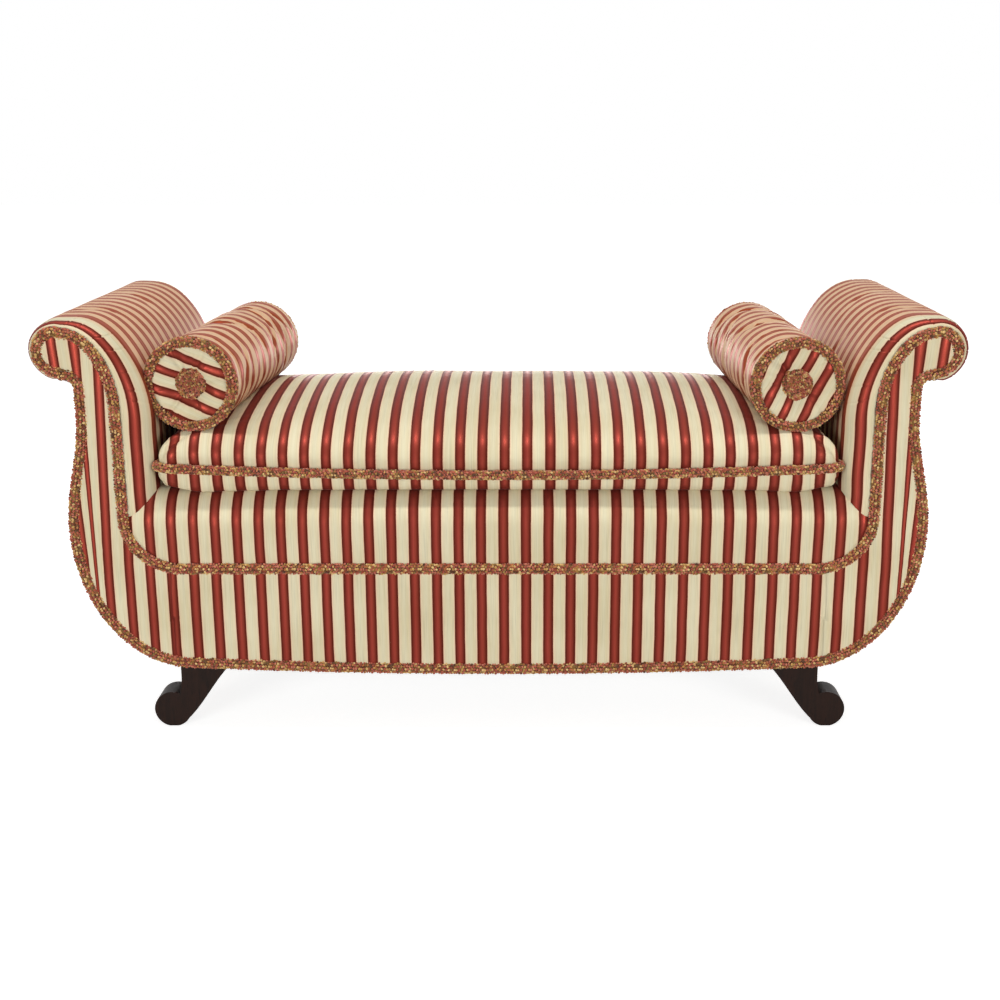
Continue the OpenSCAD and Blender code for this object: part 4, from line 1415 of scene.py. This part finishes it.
    def trim(self) -> bpy.types.Object:
        """Makes the looped trim on the seam.

        Returns:
            The trim.
        """
        side = [2 * k / self.trim_steps - 1 for k in range(self.trim_steps)]
        square = ([(1.0, s) for s in side] + [(-s, 1.0) for s in side] + [(-1.0, -s) for s in side]
                  + [(s, -1.0) for s in side])
        points = []
        for u, v in square:
            x, y = self.rim(u, v, self.cord / 2 - MM)
            points.append(Vector((x, y, self.edge_z(x))))
        braid = Braid(width=0.95 * self.cord, height=0.42 * self.cord, around=290.0, rows=8, seed=21)
        bm = braid.laid([*points, points[0]], lambda p, run: Vector((run.y, -run.x, 0.0)))
        return yarn_piece("cushion_looped_trim", bm)

    def build(self) -> None:
        """Makes and places the cushion and its trim."""
        casing = self.casing()
        settle(casing, lambda co: abs(co.z - self.edge_z(co.x)) < self.sewn and self.near_seam(co), *self.settled)
        place_piece(casing, "cushion", ["cushion_top", "cushion_bottom", "cushion_insert"])
        place_piece(self.trim(), "cushion", ["cushion_trim"])


@dataclass
class Bolster:
    """A bolster: striped sleeve, drawn-in ends, a looped trim and a tufted button at each end."""

    side: Side
    centre: Point                      # its place along the bench, without the side's sign, and its height
    turn: float                        # how far its front is turned outwards, in degrees
    front_angle: float                 # direction of the stripes on the front end, degrees from +X towards +Z
    front_shift: float
    first_red: float                   # from the sleeve's middle to the middle of a red stripe
    back_turn: float = 50.0            # how much further round the stripes on the back end lie
    end_scale: float = 1.09            # the end's cloth is drawn together by its pleats
    radius: float = 0.078
    length: float = 0.496
    room: float = 0.006                # beyond its ends, the cushion stays free of it
    dimple: float = 0.014
    puff: float = 0.0085               # how far the end puffs out between trim and button
    pleats: int = 13
    pleat: float = 0.0042              # their depth
    pleat_w: float = 0.10              # and half width, in radians
    crease: float = 0.0016             # depth of the sleeve's soft creases
    slim: float = 0.0008               # how far inside the CAD's radius the sleeve lies
    fold_depth: float = 0.0026
    waver: float = 0.0030              # how far the sleeve's stripes waver
    trim_width: float = 0.019
    trim_height: float = 0.0085
    trim_in: ClassVar[dict[End, float]] = {End.FRONT: 0.0045, End.BACK: 0.0095}    # how far inside the sleeve
    trim_flare: float = 0.45           # how much the trim's loops lean outwards
    button_r: float = 0.0305
    button_t: float = 0.014
    button_tufts: int = 400
    tuft: Place = (2.8 * MM, 1.6 * MM, 1.8 * MM)
    settled: Point = (0.003, 0.02)     # how far the casing may settle, and how much larger it is cut
    seam_y: float = 0.016              # how far from its ends the sleeve is held by the trim
    seam_share: float = 0.94           # share of the radius outside which the end is held by it
    button_share: float = 0.8          # share of the button under which the end is held
    sleeve_grid: tuple[int, int] = (84, 150)
    end_grid: int = 44
    folds: tuple[Fold, ...] = (Fold(0.085, 0.09, 0.07, 0.5, 0.014), Fold(-0.02, 0.17, 0.06, -0.55, 0.009),
                               Fold(0.15, 0.22, 0.06, -0.3, 0.010), Fold(-0.15, 0.05, 0.06, 0.3, 0.007),
                               Fold(0.02, 0.60, 0.08, 0.4, 0.008))

    def slack(self, y: float, turn: float) -> tuple[float, float]:
        """Sums the sleeve's folds, mirrored from side to side.

        Args:
            y: Place along the sleeve.
            turn: Place round it, 0 to 1 from +X over the top.

        Returns:
            The cloth's shift and the depth in the folds.
        """
        around = turn if self.side is Side.LEFT else (0.5 - turn) % 1.0
        found = [f.read(y, around) for f in self.folds]
        return sum(f[0] for f in found), sum(f[1] for f in found)

    def matrix(self) -> Matrix:
        """Places the bolster, whose axis is its own Y."""
        x = self.side.value * self.centre[0]
        turn = math.radians(self.turn) * self.side.value
        return Matrix.Translation((x, 0.0, self.centre[1])) @ Matrix.Rotation(turn, 4, "Z")

    def bottom_at(self, x: float, y: float) -> float:
        """Height of the bolster's underside over a point of the seat.

        Args:
            x: Place along the bench.
            y: Place across it.

        Returns:
            The highest place it leaves free, or infinity beside the bolster.
        """
        local = self.matrix().inverted() @ Vector((x, y, self.centre[1]))
        if abs(local.x) >= self.radius or abs(local.y) > self.length / 2 + self.room:
            return math.inf
        return self.centre[1] - math.sqrt(self.radius ** 2 - local.x ** 2) - MM

    def sewn(self, local: Vector) -> bool:
        """Tells whether a point of the casing is held by a trim or under a button."""
        r = math.hypot(local.x, local.z)
        held = r > self.radius * self.seam_share or r < self.button_r * self.button_share
        return held and abs(local.y) > self.length / 2 - self.seam_y

    def end_y(self, r: float) -> float:
        """Reach of the end's face along the axis at a radius."""
        return self.length / 2 - self.dimple * (1 + math.cos(math.pi * min(1.0, r / self.radius))) / 2

    def sleeve(self) -> bmesh.types.BMesh:
        """Makes the round sleeve with soft creases."""

        def place(u: float, v: float) -> Vector:
            """Sets a point of the sleeve."""
            a = 2 * math.pi * u
            y = (v - 0.5) * self.length
            ring = Vector((math.cos(a), math.sin(a)))
            crease = self.crease * ripple(ring.x * 2.2 + 4.0 * self.side.value, y * 26, ring.y * 2.2)
            edge = min(1.0, (0.5 - abs(v - 0.5)) * 12)
            r = self.radius + (crease - self.slim - self.fold_depth * self.slack(y, u)[1]) * edge
            return Vector((r * ring.x, y, r * ring.y))

        def cloth(u: float, v: float) -> Point:
            """Reads the cloth map: the stripes go round and waver with the slack."""
            y = (v - 0.5) * self.length
            a = 2 * math.pi * u
            waver = self.waver * ripple(1.6 * math.cos(a), y * 9, 1.6 * math.sin(a) + self.side.value)
            return v * self.length - self.first_red + waver + self.slack(y, u)[0], a * self.radius

        return mapped_grid(*self.sleeve_grid, place, cloth)

    def end(self, end: End) -> bmesh.types.BMesh:
        """Makes a drawn-in end with pleats towards its button.

        Args:
            end: Front or back.

        Returns:
            The disc.
        """
        rnd = random.Random(17 + self.side.value + 3 * end.value)
        pleats = [(rnd.uniform(-math.pi, math.pi), rnd.uniform(0.4, 1.0)) for _ in range(self.pleats)]
        angle = math.radians(self.front_angle + (self.back_turn if end is End.BACK else 0.0))
        along = Vector((math.cos(angle), 0.0, math.sin(angle)))
        across = Vector((math.sin(angle), 0.0, -math.cos(angle)))

        def place(u: float, v: float) -> Vector:
            """Bends the square grid into a disc and presses the pleats in."""
            a, b = 2 * u - 1, 2 * v - 1
            s = max(abs(a), abs(b))
            norm = math.hypot(a, b)
            if norm < 1e-9:
                return Vector((0.0, end.value * self.end_y(0.0), 0.0))
            r = s * self.radius
            x, z = a / norm * r, b / norm * r
            theta = math.atan2(z, x)
            fold = sum(weight * bell((theta - pleat + math.pi) % (2 * math.pi) - math.pi, self.pleat_w)
                       for pleat, weight in pleats)
            ring = math.sin(math.pi * min(1.0, s)) ** 1.2
            return Vector((x, end.value * (self.end_y(r) + (self.puff - self.pleat * fold) * ring), z))

        def cloth(co: Vector) -> Point:
            """Reads the cloth map, drawn in towards the button."""
            r = math.hypot(co.x, co.z) / self.radius
            pull = 1 + 0.10 * (1 - r) + 0.05 * ripple(co.x * 40, co.z * 40, 1.0)
            return (co.dot(across) * pull - self.front_shift) * self.end_scale, co.dot(along) * pull

        bm = mapped_grid(self.end_grid, self.end_grid, place)
        lay_cloth(bm, cloth)
        return bm

    def trims(self) -> bpy.types.Object:
        """Makes the two looped rings.

        Returns:
            Both rings as one piece.
        """
        rings = []
        for end in End:
            y = end.value * (self.length / 2 + MM)
            r = self.radius - self.trim_in[end]
            braid = Braid(width=self.trim_width, height=self.trim_height, around=260.0, rows=7, seed=31 + end.value)

            def outward(p: Vector, run: Vector, end: End = end) -> Vector:
                """Points out of the bolster's end and away from its axis."""
                return Vector((0.0, end.value, 0.0)) + self.trim_flare * Vector((p.x, 0.0, p.z)).normalized()

            rings.append(braid.laid([Vector((x, y, z)) for x, z in arc((0.0, 0.0), (r, r), 0, 360, 72)], outward))
        bm = join(rings)
        bmesh.ops.transform(bm, verts=bm.verts, matrix=self.matrix())
        return yarn_piece(f"{self.side.word}_bolster_looped_trims", bm)

    def buttons(self) -> bpy.types.Object:
        """Makes the two tufted buttons: loops set all over a dome.

        Returns:
            Both buttons as one piece.
        """
        rnd = random.Random(41)
        bm = bmesh.new()
        bm.faces.layers.float.new(YARN)
        seat = self.end_y(self.button_r) + MM
        for end in End:
            centre = Matrix.Translation((0.0, end.value * seat, 0.0))
            core, shell = (Matrix.Diagonal((self.button_r * r, self.button_t * t, self.button_r * r, 1.0))
                           for r, t in ((0.90, 0.80), (0.93, 0.86)))
            bmesh.ops.create_uvsphere(bm, u_segments=24, v_segments=12, radius=1.0, matrix=centre @ core)
            for k in range(self.button_tufts):
                lift = 1 - (k + 0.5) / self.button_tufts * 1.15
                flat = math.sqrt(max(0.0, 1 - lift * lift))
                spin = k * GOLDEN_ANGLE
                look = Vector((flat * math.cos(spin), end.value * lift, flat * math.sin(spin)))
                size = [w * (0.75 + 0.45 * rnd.random()) for w in self.tuft]
                matrix = (Matrix.Translation(centre @ shell @ look) @ look.to_track_quat("Z", "Y").to_matrix().to_4x4()
                          @ Matrix.Rotation(rnd.uniform(0, math.pi), 4, "Z") @ Matrix.Diagonal((*size, 1.0)))
                add_tuft(bm, matrix, rnd.random())
        bmesh.ops.transform(bm, verts=bm.verts, matrix=self.matrix())
        return yarn_piece(f"{self.side.word}_bolster_tufted_buttons", bm)

    def build(self) -> None:
        """Makes and places the bolster."""
        sleeve, ends = self.sleeve(), [self.end(End.FRONT), self.end(End.BACK)]
        # painted sheen: the whole sleeve gets the tan tint, the ends none
        mark_stretch(sleeve, lambda co: 1.0)
        for disc in ends:
            mark_stretch(disc, lambda co: 0.0)
        bm = join([sleeve, *ends])
        bmesh.ops.transform(bm, verts=bm.verts, matrix=self.matrix())
        body = f"{self.side.word}_bolster"
        casing = finished(f"{body}_casing", bm, SATIN, seam=20 * SAME)
        inverse = self.matrix().inverted()
        settle(casing, lambda co: self.sewn(inverse @ co), *self.settled)
        place_piece(casing, body, [f"{body}_sleeve", f"{body}_ends", f"{body}_core"])
        place_piece(self.trims(), body, [f"{body}_trims"])
        place_piece(self.buttons(), body, [f"{body}_buttons"])


# ---------------------------------------------------------------- the carried-over frame

# by the end of a node's name; all else in the frame is beech
FRAME_FINISHES = {"_leg": MAHOGANY, "leg_bolts": STEEL, "seat_springs": STEEL, "seat_webbing": JUTE, "_burlap": JUTE,
                  "dust_cover": CAMBRIC}


def dress_frame(nodes: dict[str, bpy.types.Object]) -> None:
    """Gives each carried-over CAD node its procedural finish.

    Args:
        nodes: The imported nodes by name.
    """
    for name, obj in nodes.items():
        finish = next((f for ending, f in FRAME_FINISHES.items() if name.endswith(ending)), BEECH)
        obj.data.materials.clear()
        obj.data.materials.append(finish.material())


TACKED_T = 1.5 * MM                # thickness of the tacked cloths
TACKED = {                         # and what each of them lies on
    "dust_cover": ("front_rail", "back_rail", "left_end_rail", "right_end_rail"),
    "seat_burlap": ("seat_springs", "front_rail", "back_rail"),
    "left_arm_burlap": ("left_front_arm_board", "left_back_arm_board"),
    "right_arm_burlap": ("right_front_arm_board", "right_back_arm_board"),
}


def declare_tacked(nodes: dict[str, bpy.types.Object]) -> None:
    """Args:
        nodes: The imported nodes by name.
    """
    for name, rests_on in TACKED.items():
        bm = bmesh.new()
        bm.from_mesh(nodes[name].data)
        area = abs(bm.calc_volume()) / TACKED_T
        bm.free()


# ---------------------------------------------------------------- studio


@dataclass
class Studio:
    """The photograph's camera, a pale floor and soft lamps at a plain level."""

    place: Place = (0.053, -2.661, 1.076)
    pitch: float = 74.6
    sensor: float = 36.0
    lens: float = 51.084
    shift_x: float = -0.029
    floor_size: float = 14.0
    whitened: Point = (0.8, 1.0)       # share of white seen under the bench and at the horizon
    fade: Point = (0.9, 2.0)           # distances in metres between which it goes from one to the other
    ambient: float = 0.16              # share of the world's white that lights the object
    aim: Place = (0.0, 0.0, 0.4)
    lamps: ClassVar[dict[str, tuple[Place, Point, float]]] = {    # place, two sides and power in watts
        "strip": ((0.0, -0.36, 2.6), (3.4, 0.12), 49.0),
        "front_left": ((-1.9, -3.0, 0.75), (1.3, 1.3), 56.5),
        "front_right": ((2.0, -2.9, 0.80), (1.3, 1.3), 52.0),
        "behind": ((0.0, 2.9, 0.55), (3.0, 0.5), 30.0),
    }

    def camera(self) -> None:
        """Makes the camera at the photograph's viewing angle."""
        data = bpy.data.cameras.new("camera")
        data.sensor_width = self.sensor
        data.lens = self.lens
        data.shift_x = self.shift_x
        camera = bpy.data.objects.new("camera", data)
        camera.location = self.place
        camera.rotation_euler = (math.radians(self.pitch), 0.0, 0.0)
        bpy.context.scene.collection.objects.link(camera)
        bpy.context.scene.camera = camera

    def seen_white(self, tree: bpy.types.NodeTree) -> bpy.types.Node:
        """Adds one for rays that come from the camera, glass or gloss.

        Args:
            tree: A material's or the world's node tree.

        Returns:
            The node whose output is that one.
        """
        path = add_node(tree, "ShaderNodeLightPath")
        gloss = add_node(tree, "ShaderNodeMath", {0: path.outputs["Is Camera Ray"], 1: path.outputs["Is Glossy Ray"]},
                         operation="MAXIMUM")
        return add_node(tree, "ShaderNodeMath", {0: gloss.outputs[0], 1: path.outputs["Is Transmission Ray"]},
                        operation="MAXIMUM")

    def floor(self) -> None:
        """Makes the pale floor, which keeps the bench's shadow."""
        bm = bmesh.new()
        bmesh.ops.create_grid(bm, x_segments=1, y_segments=1, size=self.floor_size)
        mesh = bpy.data.meshes.new("floor")
        bm.to_mesh(mesh)
        bm.free()
        material = bpy.data.materials.new("paper_sweep")
        material.use_nodes = True
        tree = material.node_tree
        shader = tree.nodes["Principled BSDF"]
        # seen paper is whitened in part under the bench and wholly at the horizon
        place = add_node(tree, "ShaderNodeTexCoord")
        away = add_node(tree, "ShaderNodeVectorMath", {0: place.outputs["Object"]}, operation="LENGTH")
        fade = add_node(tree, "ShaderNodeMapRange", {0: away.outputs["Value"], 1: self.fade[0], 2: self.fade[1],
                                                       3: self.whitened[0], 4: self.whitened[1]})
        white = add_node(tree, "ShaderNodeMath", {0: fade.outputs[0], 1: self.seen_white(tree).outputs[0]},
                         operation="MULTIPLY")
        tree.links.new(white.outputs[0], shader.inputs["Emission Strength"])
        shader.inputs["Emission Color"].default_value = linear("#ffffff")
        shader.inputs["Base Color"].default_value = linear("#cdcdcb")
        shader.inputs["Roughness"].default_value = 0.9
        shader.inputs["Specular IOR Level"].default_value = 0.1
        mesh.materials.append(material)
        floor = bpy.data.objects.new("floor", mesh)
        bpy.context.scene.collection.objects.link(floor)

    def lamp(self, name: str, place: Place, size: Point, power: float) -> None:
        """Hangs a soft lamp that looks at the seat.

        Args:
            name: Name of the lamp.
            place: Where it hangs.
            size: Its two sides.
            power: Its power in watts.
        """
        data = bpy.data.lights.new(name, "AREA")
        data.shape = "RECTANGLE"
        data.size, data.size_y = size
        data.energy = power
        lamp = bpy.data.objects.new(name, data)
        lamp.location = place
        look = Vector(self.aim) - Vector(place)
        lamp.rotation_euler = look.to_track_quat("-Z", "Y").to_euler()
        bpy.context.scene.collection.objects.link(lamp)

    def world(self) -> None:
        """Lights softly from all round and shows white behind the bench."""
        world = bpy.data.worlds.new("studio")
        bpy.context.scene.world = world
        world.use_nodes = True
        tree = world.node_tree
        background = tree.nodes["Background"]
        background.inputs["Color"].default_value = linear("#ffffff")
        seen = self.seen_white(tree)
        strength = add_node(tree, "ShaderNodeMath", {0: seen.outputs[0], 1: 1 - self.ambient, 2: self.ambient},
                            operation="MULTIPLY_ADD")
        tree.links.new(strength.outputs[0], background.inputs["Strength"])

    def build(self) -> None:
        """Sets up the whole studio."""
        self.world()
        self.floor()
        for name, (place, size, power) in self.lamps.items():
            self.lamp(name, place, size, power)


def main() -> None:
    """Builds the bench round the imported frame."""
    logging.basicConfig(level=logging.INFO, format="%(message)s")
    studio = Studio()
    studio.camera()
    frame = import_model()
    bpy.context.scene.view_settings.view_transform = "Standard"
    dress_frame(frame["nodes"])
    declare_tacked(frame["nodes"])
    outline = ArmOutline()
    Facings(outline).build()
    for side in Side:
        ArmCovers(outline, side).build()
    Deck(outline).build()
    FaceTrims(outline).build()
    bolsters = (
        Bolster(Side.LEFT, (0.516, 0.618608), turn=3.6, front_angle=-22.5, front_shift=-0.005, first_red=0.010),
        Bolster(Side.RIGHT, (0.508, 0.617), turn=2.1, front_angle=64.6, front_shift=0.0, first_red=0.026),
    )
    for bolster in bolsters:
        bolster.build()
    SeatCushion(bolsters=bolsters).build()
    studio.build()


if __name__ == "__main__":
    main()
